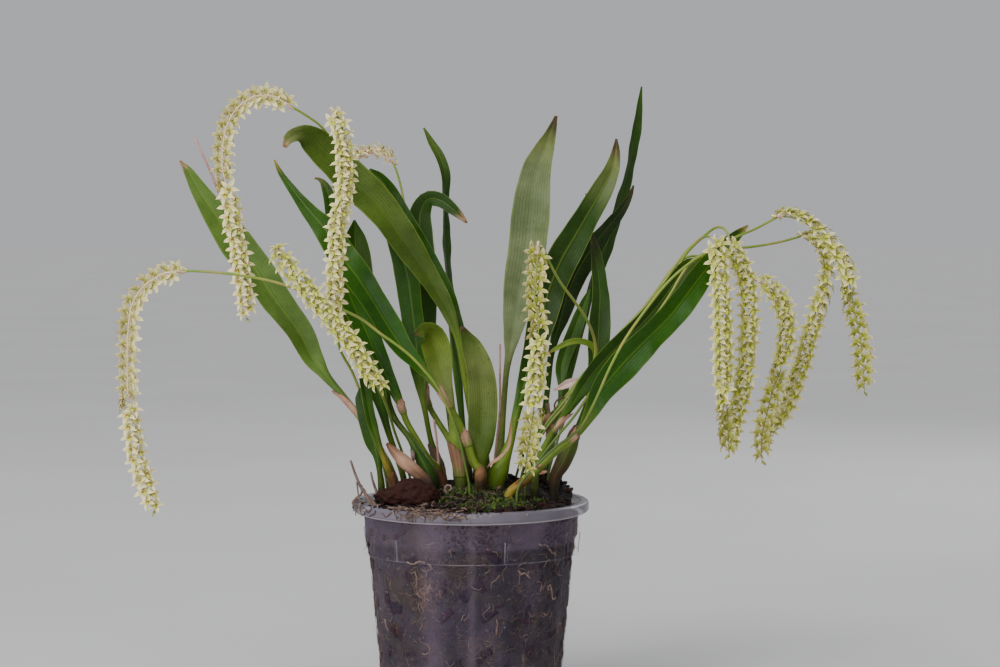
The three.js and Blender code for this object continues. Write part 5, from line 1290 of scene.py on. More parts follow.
def add_sheath(skin, shoot, first_row, last_row, colour, seed):
    """A papery sheath that wraps the stem from one row to another. It laps over itself behind, and its upper
    edge runs up to one pointed tip. Gives points, faces, UVs and tints."""
    rows, line, half, t = shoot["rows"], skin["line"], skin["half"], skin["t"]
    rng = np.random.default_rng(seed)
    start, stop = (first_row + 1) / len(rows), (last_row + 1) / len(rows)
    tip_angle = rng.uniform(0.2, 2.9)
    lap = np.linspace(-1.08, 1.08, SHEATH_AROUND) * (1 if first_row < 0.5 else 0.55)
    away = np.abs(lap)
    if first_row < 0:
        reach = 0.62 + 0.5 * np.abs(np.sin(4.1 * lap + seed)) ** 0.7 - 0.2 * away
    else:
        reach = 1.15 - 0.75 * away ** 0.8
    reach += 0.035 * np.sin(23 * lap + seed) + 0.02 * np.sin(51 * lap)
    share = np.linspace(0, 1, SHEATH_ALONG)
    outer, inner, tints = [], [], []
    for angle, apart, top in zip(lap * math.pi + tip_angle, away, reach):
        stretch = np.clip(start + (stop - start) * share * top, 0, 1)
        centre, along, view = line_frames(line, stretch)
        side = np.cross(along, view)
        flare = share ** 2 * (0.25 + 0.8 * (top > 1.0)) + 0.12 * np.sin(9 * share + 3 * angle)
        wrap = (SHEATH_STANDOFF * (1 + apart) * np.clip(0.3 + 3 * share, 0, 1) + np.maximum(flare, 0)) * MM
        radius = np.interp(stretch, t, half) + wrap
        turned = side * math.cos(angle) + view * math.sin(angle) * STEM_FLATNESS
        outer.append(centre + turned * radius[:, None])
        inner.append(centre + turned * (radius - SHEATH_THICKNESS * MM)[:, None])
        dry = np.clip(share * 2.2 - 0.1 + rng.uniform(-0.3, 0.3), 0, 1)[:, None]
        stem = row_colours(shoot["tints"], stretch * len(rows) - 1)
        tone = stem * (1 - dry) + np.array(LEAF_COLOURS[colour]) * dry
        edge = np.clip((share - 0.86) / 0.14, 0, 1)[:, None] * 0.65
        tints.append(tone * (1 - edge) * rng.uniform(0.75, 1.12) + np.array(LEAF_COLOURS["brown"]) * edge)
    points = np.vstack([np.vstack(outer), np.vstack(inner)])
    count = SHEATH_AROUND * SHEATH_ALONG
    faces = []
    for i in range(SHEATH_AROUND - 1):
        for j in range(SHEATH_ALONG - 1):
            a, b = i * SHEATH_ALONG + j, (i + 1) * SHEATH_ALONG + j
            faces.append((a, b, b + 1, a + 1))
            faces.append((count + a, count + a + 1, count + b + 1, count + b))
    rim = [i * SHEATH_ALONG for i in range(SHEATH_AROUND)]
    rim += [(SHEATH_AROUND - 1) * SHEATH_ALONG + j for j in range(1, SHEATH_ALONG)]
    rim += [i * SHEATH_ALONG + SHEATH_ALONG - 1 for i in reversed(range(SHEATH_AROUND - 1))]
    rim += [j for j in reversed(range(1, SHEATH_ALONG - 1))]
    for a, b in zip(rim, rim[1:] + rim[:1]):
        faces.append((b, a, count + a, count + b))
    uv = [(i / SHEATH_AROUND, j / SHEATH_ALONG) for i in range(SHEATH_AROUND) for j in range(SHEATH_ALONG)]
    tints = np.vstack(tints * 2)
    tints[:, 3] = 1
    return points, faces, np.array(uv * 2), tints


def foot_earth_and_shade(finish):
    """How far the foot of a shoot is darkened, from 0 to 1: partly earth and moss, partly painted shade."""
    uneven = finish.times(finish.grain(120, 5, 0.7), FOOT_DARKENING_UNEVEN * MM)
    return finish.graded(finish.plus(finish.height, uneven), FOOT_DARKENING_TOP[0] * MM, FOOT_DARKENING_TOP[1] * MM, 1, 0)


def toned(finish, tint, tone):
    """A tint taken down by a tone."""
    return finish.blended(1.0, tint, (*tone, 1), "MULTIPLY")


leaf = Finish("leaf", Specular_IOR_Level=0.16)
tint = leaf.painted("tint", "Color")
across = leaf.node("SeparateXYZ", {0: leaf.node("UVMap", {}, uv_map="leaf").outputs[0]}).outputs[0]
own_traits = leaf.node("Attribute", {}, attribute_name="traits")
traits = leaf.node("SeparateColor", {0: own_traits.outputs["Color"]})
gloss, speckle = traits.outputs[0], traits.outputs[1]
from_middle = leaf.apart(across, 0.5)
midrib = leaf.graded(from_middle, 0.012, 0.035, 1, 0)
wobble = leaf.times(leaf.grain(60, 2), 0.03)
nerve_wave = leaf.sums("SINE", leaf.times(leaf.plus(across, wobble), 78))
nerves = leaf.graded(nerve_wave, 0.1, 1)
rim_light = leaf.graded(from_middle, 0.462, 0.485)
mottle = leaf.patches(0.35, 0.7, 70, 5, 0.6)
dust = leaf.patches(0.4, 0.7, 900, 3)
spots = leaf.node("TexVoronoi", {"Vector": leaf.place, "Scale": 420.0}).outputs["Distance"]
spots = leaf.graded(spots, 0.1, 0.22, 1, 0)
spots = leaf.times(spots, leaf.times(speckle, leaf.patches(0.42, 0.6, 120, 2)))
colour = leaf.blended(mottle, toned(leaf, tint, LEAF_MOTTLE), tint)
colour = leaf.blended(leaf.times(nerves, 0.42), colour, toned(leaf, tint, LEAF_NERVES))
colour = leaf.blended(leaf.times(rim_light, 0.5), colour, LEAF_COLOURS["lime"])
colour = leaf.blended(leaf.times(midrib, traits.outputs[2]), colour, LEAF_COLOURS["lime"])
colour = leaf.blended(leaf.times(dust, 0.06), colour, LEAF_COLOURS["grey"])
colour = leaf.blended(spots, colour, LEAF_SPOTS)
# The foot of the shoot is darkened by the share in the traits' alpha: partly earth and moss, partly painted
# shade
colour = leaf.blended(leaf.times(foot_earth_and_shade(leaf), own_traits.outputs["Alpha"]), colour, EARTH_AND_SHADE)
leaf.wire("Base Color", colour)
leaf.wire("Roughness", leaf.graded(leaf.plus(gloss, leaf.times(mottle, -0.15)), 0, 1, 0.62, 0.24))
relief = leaf.raised(nerves, 0.25, 0.12 * MM)
leaf.wire("Normal", leaf.raised(leaf.grain(220, 3), 0.25, 0.5 * MM, relief))

papery = Finish("dry_papery_sheath", Roughness=0.7)
tint = papery.painted("tint", "Color")
surface = papery.node("SeparateXYZ", {0: papery.node("UVMap", {}, uv_map="leaf").outputs[0]})
ribs = papery.graded(papery.sums("SINE", papery.times(surface.outputs[0], 85)), -0.2, 1)
stain = papery.patches(0.42, 0.7, 180, 5, 0.7)
colour = papery.blended(papery.times(ribs, 0.5), tint, toned(papery, tint, PAPER_RIBS))
colour = papery.blended(papery.times(stain, 0.4), colour, LEAF_COLOURS["brown"])
# The foot of the sheath is darkened: partly earth, partly painted shade
colour = papery.blended(papery.times(foot_earth_and_shade(papery), 0.85), colour, EARTH_AND_SHADE)
papery.wire("Base Color", colour)
papery.wire("Normal", papery.raised(ribs, 0.5, 0.15 * MM))


def skin_piece(name, points, faces, uvs, tints, finishes):
    """A piece of leaf or dry leaf, with its UVs and the tint of each point."""
    piece = new_mesh(name, points, faces)
    for finish in finishes:
        piece.data.materials.append(finish.material)
    corners = np.empty(len(piece.data.loops), np.int32)
    piece.data.loops.foreach_get("vertex_index", corners)
    piece.data.uv_layers.new(name="leaf").data.foreach_set("uv", uvs[corners].ravel().astype(np.float32))
    tint = piece.data.color_attributes.new("tint", "FLOAT_COLOR", "POINT")
    tint.data.foreach_set("color", tints.ravel().astype(np.float32))
    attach(piece, "root")
    return piece


for number, shoot in enumerate(SHOOTS, 1):
    points, faces, uvs, tints, half, t, line = shoot_skin(shoot, number)
    skin = {"line": line, "half": half, "t": t}
    all_points, all_faces, all_uvs, all_tints, slots = [points], list(faces), [uvs], [tints], [0] * len(faces)
    count = len(points)
    for order, (first_row, last_row, colour_name) in enumerate(shoot.get("sheaths", [])):
        sheath = add_sheath(skin, shoot, first_row, last_row, colour_name, number * 10 + order)
        more, more_faces, more_uvs, more_tints = sheath
        all_faces += [tuple(corner + count for corner in face) for face in more_faces]
        slots += [1] * len(more_faces)
        count += len(more)
        all_points.append(more)
        all_uvs.append(more_uvs)
        all_tints.append(more_tints)
    skin = [np.vstack(parts) for parts in (all_points, all_uvs, all_tints)]
    piece = skin_piece(f"shoot_{number:02d}", skin[0], all_faces, *skin[1:], [leaf, papery])
    piece.data.polygons.foreach_set("material_index", slots)
    traits = piece.data.color_attributes.new("traits", "FLOAT_COLOR", "POINT")
    rib = SPECKLED_RIB if shoot["speckle"] > 0.3 else PLAIN_RIB
    # The last trait is how far the foot is darkened, partly for earth and partly as painted shade
    own = [shoot["gloss"], shoot["speckle"], rib, shoot.get("foot_darkening", 0.9)]
    traits.data.foreach_set("color", np.tile(own, (count, 1)).ravel().astype(np.float32))
    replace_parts(piece, f"leafy_shoot_{number:02d}")


# Dry sheath: the papery pink-tan husk of an old growth that leans out of the clump at the front left
SHEATH_ROWS = [
    (-24, 129, -14, 3, 0), (-29, 134, -15, 3.4, 0), (-36.5, 140.5, -15.5, 3.8, 0),
    (-43, 147, -14.5, 2.4, 0), (-46.5, 151, -14, 0.8, 0),
]
husk = dict(
    rows=SHEATH_ROWS, stem_rows=len(SHEATH_ROWS), wave=0,
    tints=[(0, "brown"), (0.8, "tan"), (2, "blush"), (3.2, "tan"), (4, "rust")],
)


def papery_piece(name, shoot, seed):
    """A dry papery piece with the form of a shoot."""
    piece = skin_piece(name, *shoot_skin(shoot, seed)[:4], [papery])
    return piece


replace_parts(papery_piece("old_growth_husk", husk, 3), "dry_sheath")


# Withered scraps among the stems: a fat brown scale bud, small pink buds at the joints, a thin split strap
# of sheath, one crumpled leaf with its curled stalk, and the pale bract of an old flower stalk. Each has
# whether it is round, how much it is waved, its tints and its rows.
SCRAPS = {
    "scale_bud": (1, 0, [(0, "brown"), (1, "amber"), (2.2, "amber"), (3, "brown")], [
        (5.3, 128.5, -19, 2, 0), (5, 131.5, -19.5, 3.1, 0), (5.4, 135, -19.5, 2.9, 0),
        (6.4, 138.6, -18.8, 0.5, 0),
    ]),
    "pink_bud_1": (1, 0, [(0, "pink"), (2, "blush")], [
        (36.6, 137.6, -27.5, 0.5, 0), (37.6, 138.4, -28, 1.1, 0), (38.8, 139.2, -28.4, 0.5, 0),
    ]),
    "pink_bud_2": (1, 0, [(0, "pink"), (2, "blush")], [
        (38.4, 134.2, -27.5, 0.5, 0), (40, 134.9, -28.2, 1, 0), (42, 135.4, -28.6, 0.5, 0),
    ]),
    "pink_bud_3": (1, 0, [(0, "tan"), (2, "pink")], [
        (14.4, 124.6, -24, 0.6, 0), (15.3, 126, -24.5, 1.1, 0), (16.3, 127.2, -25, 0.5, 0),
    ]),
    "withered_end": (1, 0, [(0, "dun"), (1, "ash"), (3, "dun")], [
        (-31.6, 141, -11, 0.5, 0), (-32, 143.6, -12, 1.1, 0), (-32.4, 146, -12.2, 1, 0),
        (-33.4, 147.8, -11.8, 0.4, 0),
    ]),
    "split_strap": (0, 0.3, [(0, "amber"), (2, "blush"), (4, "blush"), (5, "brown")], [
        (22.3, 162.5, -9, 0.4, 10), (21.8, 156, -9.4, 0.7, 10), (20.8, 149.5, -10, 0.8, 10),
        (16.5, 143.8, -10.6, 0.9, 20), (11.5, 140.2, -11.4, 0.9, 20), (8.6, 137.4, -11.6, 0.4, 20),
    ]),
    "crumpled_leaf": (0, 2.6, [(0, "umber"), (2, "tan"), (3, "brown"), (4, "tan"), (5, "brown")], [
        (42.3, 172, 1, 1.2, 20), (42.8, 168, 0, 2.6, 50), (42.2, 163, 0, 3.4, -20), (43.4, 158, 0, 3, 40),
        (43.2, 154, 0, 1.6, -30), (44.2, 151.5, 0, 0.6, 0),
    ]),
    "curled_thread": (1, 0, [(0, "umber"), (5, "brown")], [
        (45.6, 163.5, -1, 0.4, 0), (47, 168, -1, 0.5, 0), (46, 172, -1, 0.5, 0), (48.5, 175.6, -1, 0.55, 0),
        (52.5, 175.9, -1, 0.5, 0), (54, 173.6, -1, 0.4, 0),
    ]),
    "pale_bract": (0, 0.4, [(0, "blush"), (1, "shell"), (3, "shell"), (4, "blush")], [
        (46.5, 180.8, 2, 0.6, 0), (50, 182.2, 2, 1.8, 15), (54.5, 184.3, 1, 2.4, 15), (59, 185.6, 0, 1.6, 10),
        (61.5, 186, 0, 0.4, 0),
    ]),
}
for seed, (name, (is_round, wave, tints, rows)) in enumerate(SCRAPS.items()):
    scrap = dict(rows=rows, stem_rows=len(rows) if is_round else 0, wave=wave, tints=tints, loose=0.35)
    papery_piece(name, scrap, seed)


# Old flower stalks: three bare dry stalks of last year's flowers, pinkish and slightly kinked
OLD_STALK_RADIUS = 0.8
OLD_STALKS = [
    [
        (-40, 128, 22), (-50, 150, 27), (-62, 168, 32), (-79, 190, 38), (-94, 213, 45), (-110, 240, 54),
        (-128, 268, 60), (-137, 286, 63), (-143, 300.4, 64), (-151.3, 319.1, 66),
    ],
    [
        (-17.5, 129, 8), (-18.5, 148, 9), (-20.3, 164, 10),
    ],
    [
        (12, 130, 7), (14, 150, 8), (16, 170, 9), (16, 190, 10), (16, 206, 11),
    ],
]
STALK_ROSE = linear(186, 140, 134)
STALK_BROWN = linear(150, 104, 88)

dry_stalk = Finish("dry_stalk", Roughness=0.65)
weathering = dry_stalk.patches(0.4, 0.65, 160, 4, 0.7)
colour = dry_stalk.blended(weathering, STALK_ROSE, STALK_BROWN)
dry_stalk.wire("Base Color", colour)
dry_stalk.wire("Normal", dry_stalk.raised(dry_stalk.grain(600, 3), 0.4, 0.2 * MM))
for number, rows in enumerate(OLD_STALKS, 1):
    points, faces = stalk_tube(rooted_line(rows), lambda share: OLD_STALK_RADIUS * MM * (1.05 - 0.25 * share))
    piece = new_mesh(f"bare_old_stalk_{number}", points, faces)
    piece.data.materials.append(dry_stalk.material)
    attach(piece, "root")
    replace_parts(piece, f"old_stalk_{number}")


# Sprays: a thin wiry stalk arches out of each new shoot and ends in a hanging chain of small flowers.
# They stand left and right of a thin axis in two rows, alternately, all open to the same side. Rows are
# x, z and depth, as in the layout; face is how far the open side is turned from the front, in degrees.
SPRAYS = [
    dict(
        green=0.0,
        stalk=[
            (-1, 127, -21), (-3.5, 140, -22), (-7, 155, -22.5), (-11, 166, -23.5), (-17, 179.5, -25),
            (-27, 192.6, -25.5), (-34, 199.8, -25), (-42.4, 206.4, -25), (-49.5, 211.3, -25),
            (-59.4, 219, -24), (-67.7, 223.4, -24), (-94, 235, -24), (-107.8, 239.9, -24),
            (-131.5, 244.3, -24), (-154.6, 246, -24), (-159.9, 245.6, -24),
        ],
        chain=[
            (-160.6, 245.4, -24), (-168.3, 244.9, -24), (-174.4, 241.6, -24), (-179.9, 237.7, -24),
            (-186.5, 227.3, -25), (-188.7, 212.4, -26), (-189.2, 202, -26), (-189.2, 181.6, -27),
            (-187.6, 164.6, -28), (-184.8, 145.9, -29), (-179.3, 126.6, -30), (-174.4, 112.3, -30),
        ],
        face=[180] * 8 + [0] * 6,
    ),
    dict(
        green=0.0,
        stalk=[
            (0, 128, 15), (0, 150, 12), (-1.5, 175, 10), (-4, 192, 10.5), (-9, 215, 12), (-22, 243, 15),
            (-35, 262, 16), (-48, 280, 17), (-62, 297, 18), (-73.7, 313, 17), (-81.4, 324.6, 13),
            (-93, 333, 8), (-99.6, 336.5, 6),
        ],
        chain=[
            (-100.1, 336.7, 6), (-106.7, 341.1, 4), (-111.7, 342.2, 3), (-118.3, 341.7, 1),
            (-122.7, 339.5, 0), (-128.7, 334.5, -2), (-134.2, 324.1, -2), (-136.4, 303.2, -2),
            (-132.6, 287.8, -2), (-130.4, 271.3, -2), (-127.1, 254.2, -2), (-124.9, 237.7, -2),
            (-123.2, 218.5, -2),
        ],
        face=[180] * 6 + [170] + [0] * 7,
    ),
    dict(
        green=0.08,
        stalk=[
            (-46.5, 128, -5), (-51, 148, -6), (-56.5, 166, -5), (-60.5, 177.8, -4), (-65.5, 190.4, -6),
            (-72, 202.5, -14), (-74, 214, -22), (-75, 226, -29), (-75, 245, -29), (-73.5, 262, -29),
            (-71, 285, -30), (-69, 310, -30), (-71, 326, -31), (-74.5, 333, -35),
        ],
        chain=[
            (-75, 332.2, -37.5), (-71.5, 323.5, -40), (-69.3, 315.3, -41), (-69.3, 304.3, -41),
            (-68.8, 296, -41), (-70.4, 285, -41), (-72, 276.8, -41), (-73.7, 265.8, -41),
            (-73.7, 254.8, -41), (-74.8, 243.8, -41), (-74.8, 232.8, -41), (-75.9, 224.5, -41),
            (-77.6, 213.5, -41),
        ],
        face=[0, 0, 0],
    ),
    dict(
        green=0.32,
        stalk=[
            (-33, 128, -5), (-37, 143, -6), (-42, 157, -13), (-46, 170, -28), (-51, 182, -42),
            (-58, 194, -48), (-68, 208.5, -48), (-80, 222, -46.5), (-90, 235, -44), (-98.5, 246.5, -42),
            (-105, 254.5, -44), (-107.3, 257, -49.5),
        ],
        chain=[
            (-107, 256.6, -52), (-105, 253.9, -55.3), (-100.6, 247.6, -57), (-96.3, 243.8, -57),
            (-92.4, 239.4, -57), (-88.6, 233.9, -57), (-83, 227.3, -57), (-75.9, 217.9, -58),
            (-69.3, 210.8, -58), (-59.4, 195.9, -58), (-55.6, 190.4, -58), (-47.9, 178.9, -57),
        ],
        face=[0, 0, 0],
    ),
    dict(
        green=0.0, faded=True,
        stalk=[
            (-9, 128, 26), (-12, 160, 34), (-17, 195, 42), (-24, 230, 50), (-31, 258, 55),
            (-35.8, 278.4, 58), (-38, 290.5, 60), (-40.5, 300, 61), (-42.9, 305.8, 62),
        ],
        chain=[
            (-43.5, 306.3, 62), (-51, 310, 63), (-59.5, 308.5, 64), (-66.5, 302.5, 65), (-70.5, 292, 66),
            (-71.5, 272, 66),
        ],
        face=[120, 100, 80],
    ),
    dict(
        green=0.3,
        stalk=[
            (42, 129, -2), (45.5, 145, 0), (50.5, 161, 1), (56, 173, 2), (64, 187, 2), (68.5, 200, -1),
            (68, 208, -6), (63.8, 219, -18), (57.2, 229, -30), (49, 240, -42), (43.5, 250, -50),
            (40, 257.5, -55), (37.5, 259, -57.6),
        ],
        chain=[
            (36.9, 258.3, -59), (36.5, 251, -60), (35.7, 243.7, -60), (35.2, 230.5, -60), (36.3, 224, -60),
            (37.2, 212, -60), (36.6, 200, -60), (35.2, 180.5, -60), (34.6, 169.5, -60), (33, 158.5, -60),
            (30.5, 142, -60), (29.7, 132.1, -60),
        ],
        face=[180] * 5 + [0] * 4 + [-180] * 4,
    ),
    dict(
        green=0.32,
        stalk=[
            (30, 128, -4), (34, 145, -4), (42, 160, -6), (52, 172, -8), (62, 185, -11), (73, 198.5, -13),
            (84, 210, -14), (95, 221, -14), (104, 232.5, -13.5), (112, 245, -13), (118, 255, -14),
            (124, 261.5, -20), (129, 265, -32), (133.5, 264, -46),
        ],
        chain=[
            (134.5, 262, -49), (135.9, 250.9, -50), (138.1, 230, -50), (138.6, 208, -50),
            (139.2, 191.5, -50), (140.8, 175, -50), (141.9, 158.5, -50), (142.5, 143.1, -50),
        ],
        face=[0, 0, 0, 0, 120, 180],
    ),
    dict(
        green=0.32,
        stalk=[
            (27, 128, 5), (32, 146, 2), (41, 161, -1), (51, 173.5, -3), (61.5, 187, -5.5),
            (72.5, 200.5, -8), (83.5, 212, -9), (94, 223, -9.5), (103, 234.5, -9.5), (111, 247, -9),
            (119, 257.5, -9), (129, 266, -12), (135, 270, -20), (140, 268.5, -30), (142.3, 263, -36),
        ],
        chain=[
            (142.5, 260.8, -37), (146.3, 253.1, -37), (150.7, 244.9, -37), (152.9, 229.5, -37),
            (152.9, 214, -37), (151.8, 199.2, -37), (150.2, 183.8, -37), (146.9, 170.6, -37),
            (144.1, 160.2, -37), (143.6, 147.5, -37),
        ],
        face=[0, 0, 0],
    ),
    dict(
        green=0.3,
        stalk=[
            (24, 128, 13), (30, 147, 9), (40, 162, 5), (50, 174, 1), (61, 188, -1), (72, 201, -3.5),
            (83, 213, -4.5), (93.5, 224, -5), (102.5, 235.5, -5), (110.5, 247, -4.5), (120, 254, -3),
            (133, 252, -1), (146, 246.5, -2), (156, 241.5, -5), (159, 240.2, -6),
        ],
        chain=[
            (159.5, 239.9, -6.5), (166.1, 235.5, -8), (171, 227.3, -8), (174.4, 217.4, -8),
            (173.3, 204.2, -8), (170.5, 191, -8), (166.1, 179.4, -8), (163.4, 168.4, -8),
            (160.6, 155.2, -8), (160.6, 139.8, -8),
        ],
        face=[-20, 0, 20, 20, 180, 180, 180, 180],
    ),
    dict(
        green=0.3,
        stalk=[
            (26, 126, -29.5), (36.5, 139, -31), (47, 149, -33), (56, 155.5, -35), (61, 160.5, -36.5),
            (68.2, 173.9, -39), (77, 193.7, -40), (85.3, 209.1, -40), (98.5, 227.8, -39),
            (108.9, 240.5, -38), (121, 250.9, -36), (127.1, 254.7, -34), (145.2, 264.4, -28),
            (157, 269.5, -20), (168, 275.5, -15),
        ],
        chain=[
            (169, 276, -14.5), (177.7, 275.1, -14), (185.4, 271.3, -14), (193.6, 264.1, -14),
            (200.8, 255.9, -14), (205.7, 246.5, -14), (209, 235.5, -14), (211.8, 221.2, -14),
            (214, 211.3, -14), (215.6, 198.7, -14), (217, 178, -14),
        ],
        face=[-110, -80, -40, -20, 160, 180, 180, 180],
    ),
    dict(
        green=0.26,
        stalk=[
            (30, 127, -17), (38, 142, -18.5), (47, 154, -20.5), (57, 166, -23), (68, 182, -25.5),
            (79, 195, -27), (90, 207, -27.5), (100, 219, -27), (109, 232, -26), (116, 244, -24),
            (122, 252, -21.5), (133, 257, -14), (145, 258.5, -8), (155.1, 259.4, -4), (170, 262, 2),
            (181, 265, 6),
        ],
        chain=[
            (182.6, 265.2, 7), (191.4, 257, 8), (194.7, 247.6, 8), (193.6, 237.7, 8), (190.9, 227.3, 8),
            (188.1, 217.4, 8), (185.4, 205.8, 8), (182.6, 194.8, 8), (179.3, 184.9, 8), (176.6, 175.6, 8),
            (171.1, 165.1, 8), (166.1, 157.4, 8), (162.3, 148.1, 8),
        ],
        face=[-90, -40, 0, 20, 60],
    ),
]
STALK_RADIUS = 0.85
AXIS_RADIUS = 0.4
FLOWER_STEP = 2.95
FLOWER_ASIDE = 2.0
FLOWER_FORWARD = 2.1
FLOWER_TURN = 32
FLOWER_NOD = 24
CHAIN_TIP_SCALE = 0.7
CHAIN_SEED = 23
BRACT_BACK = 4.0
BUDS = 1
BUD_SCALE = 1.3
# Flower parts: how far along each step is, half its width, half its thickness, and how far it is lifted
TEPAL = [(0.2, 0.75, 0.2, 0), (2.6, 1.375, 0.22, 0.9), (4.7, 0.9075, 0.18, 0.9), (6.7, 0.2, 0.1, -0.1)]
LIP = [(0.2, 0.5, 0.35, 0.2), (1.4, 0.8, 0.3, 0.6), (2.9, 0.8, 0.2, 0.2), (3.9, 0.1, 0.1, -0.6)]
COLUMN = [(0.1, 0.45, 0.4, 0), (1.2, 0.5, 0.45, 0.1), (1.9, 0.1, 0.1, -0.2)]
OVARY = [(0, 0.425, 0.425, 0), (-1.2, 0.42, 0.42, -0.3), (-2.9, 0.15, 0.15, -1.6)]
BUD = [(0, 0.35, 0.35, 0), (1.0, 0.9, 0.8, 0.1), (2.6, 0.85, 0.75, 0.4), (4.2, 0.1, 0.1, 0.3)]
BRACT = [(0, 0.75, 0.75, 0), (2.5, 1.05, 1.0, 0), (5.5, 0.8, 0.8, 0.2), (7.5, 0.1, 0.1, 1.1)]
TEPAL_HOLLOW = 0.45
LIP_HOLLOW = 0.25
LIP_TURN = 1.2
STALK_GREEN = linear(112, 138, 36)
STALK_YELLOW = linear(146, 140, 60)
STALK_FOOT = linear(62, 90, 24)
TEPAL_HEART = linear(162, 166, 46)
TEPAL_CREAM = linear(250, 236, 172)
TEPAL_GREEN = linear(216, 212, 124)
LIP_HEART = linear(150, 94, 32)
LIP_GREEN = linear(188, 194, 56)
OVARY_PINK = linear(232, 196, 172)
OVARY_PALE = linear(220, 208, 150)


def shaped(steps, hollow=0.0):
    """One petal-like body along +X, drawn out of a flat ring of four corners: each step gives how far along
    it is, half its width, half its thickness and how far it is lifted, and the last step is its tip.
    hollow is how far its face sinks along the middle. Gives points, faces and how near the edge each is."""
    bpy.ops.object.select_all(action="DESELECT")
    reach, width, thickness, lift = steps[0]
    bpy.ops.mesh.primitive_cylinder_add(vertices=4, radius=1, depth=0.01, rotation=(0, math.pi / 2, 0))
    body = bpy.context.object
    bpy.ops.object.transform_apply(location=True, rotation=True, scale=True)
    bpy.ops.object.mode_set(mode="EDIT")
    bpy.ops.mesh.select_all(action="SELECT")
    bpy.ops.transform.resize(value=(1, width, thickness))
    bpy.ops.transform.translate(value=(reach, 0, lift))
    bpy.ops.object.mode_set(mode="OBJECT")
    for face in body.data.polygons:
        face.select = face.normal.x > 0.9
    bpy.ops.object.mode_set(mode="EDIT")
    bpy.ops.mesh.select_mode(type="FACE")
    for (reach, width, thickness, lift), following in zip(steps, steps[1:]):
        step = (following[0] - reach, 0, following[3] - lift)
        bpy.ops.mesh.extrude_region_move(TRANSFORM_OT_translate={"value": step})
        bpy.ops.transform.resize(value=(1, following[1] / width, following[2] / thickness))
    bpy.ops.mesh.merge(type="COLLAPSE")
    bpy.ops.mesh.select_all(action="SELECT")
    bpy.ops.mesh.normals_make_consistent(inside=False)
    bpy.ops.object.mode_set(mode="OBJECT")
    points, faces = taken_from(body)
    edge = np.where(np.abs(points[:, 1]) > 0.1, 1.0, 0.0)
    tip = points[:, 0] > steps[-1][0] - 0.1
    points[:, 2] -= hollow * (1 - edge) * np.where(tip, 0, 1)
    return points * MM, faces, np.where(tip, 1.0, edge)


def flower_pattern():
    """One flower that faces +X with its back sepal along +Z: five tepals, a lip, a column and the ovary
    behind. Gives points, faces, a material slot for each face and a shade for each point."""
    tepal, tepal_faces, tepal_edge = shaped(TEPAL, TEPAL_HOLLOW)
    lip, lip_faces, _ = shaped(LIP, LIP_HOLLOW)
    column, column_faces, _ = shaped(COLUMN)
    ovary, ovary_faces, _ = shaped(OVARY)
    flower = Heap()
    for petal in range(5):
        angle = petal * 2 * math.pi / 5
        size = 1.0 if petal in (0, 2, 3) else 0.94
        stand = np.stack([tepal[:, 2] + 0.2 * MM, -tepal[:, 1], tepal[:, 0]], axis=1) * size
        shade = np.clip((tepal[:, 0] / MM - 0.4) / 3.2, 0, 1) * (0.75 + 0.25 * tepal_edge)
        flower.put(stand @ turned_about((1, 0, 0), angle).T, tepal_faces, shade)
    droop = np.stack([lip[:, 2] + 0.9 * MM + lip[:, 0] * 0.35, lip[:, 1], -lip[:, 0]], axis=1)
    flower.put(droop, lip_faces, lip[:, 0] / (LIP[-1][0] * MM), 1)
    hood = np.stack([column[:, 0] + 0.3 * MM, column[:, 1], column[:, 2] + 0.35 * MM], axis=1)
    flower.put(hood, column_faces, 0.9)
    flower.put(ovary, ovary_faces, 0.0, 2)
    return np.vstack(flower.points), flower.faces, flower.slots, np.concatenate(flower.shades)


stalk_green = Finish("flower_stalk", Roughness=0.45)
streak = stalk_green.patches(0.42, 0.66, 90, 4)
colour = stalk_green.blended(streak, STALK_GREEN, STALK_YELLOW)
foot = stalk_green.graded(stalk_green.height, 150 * MM, 200 * MM, 0.9, 0)
colour = stalk_green.blended(foot, colour, STALK_FOOT)
stalk_green.wire("Base Color", colour)
stalk_green.wire("Normal", stalk_green.raised(stalk_green.grain(700, 3), 0.3, 0.15 * MM))

tepal_cream = Finish("tepal", Roughness=0.5, Subsurface_Weight=0.15, Subsurface_Scale=1.5 * MM)
out = tepal_cream.painted("shade")
colour = tepal_cream.blended(tepal_cream.graded(out, 0.08, 0.75), TEPAL_HEART, TEPAL_CREAM)
greener = tepal_cream.patches(0.45, 0.75, 60, 3, to_low=0, to_high=0.3)
tepal_cream.wire("Base Color", tepal_cream.blended(greener, colour, TEPAL_GREEN))
tepal_cream.wire("Normal", tepal_cream.raised(tepal_cream.grain(1500, 2), 0.3, 0.1 * MM))

lip_finish = Finish("flower_lip", Roughness=0.5)
out = lip_finish.painted("shade")
lip_finish.wire("Base Color", lip_finish.blended(lip_finish.graded(out, 0.3, 0.5), LIP_HEART, LIP_GREEN))

ovary_finish = Finish("ovary", Roughness=0.55)
paler = ovary_finish.patches(0.4, 0.65, 300, 3)
ovary_finish.wire("Base Color", ovary_finish.blended(paler, OVARY_PINK, OVARY_PALE))

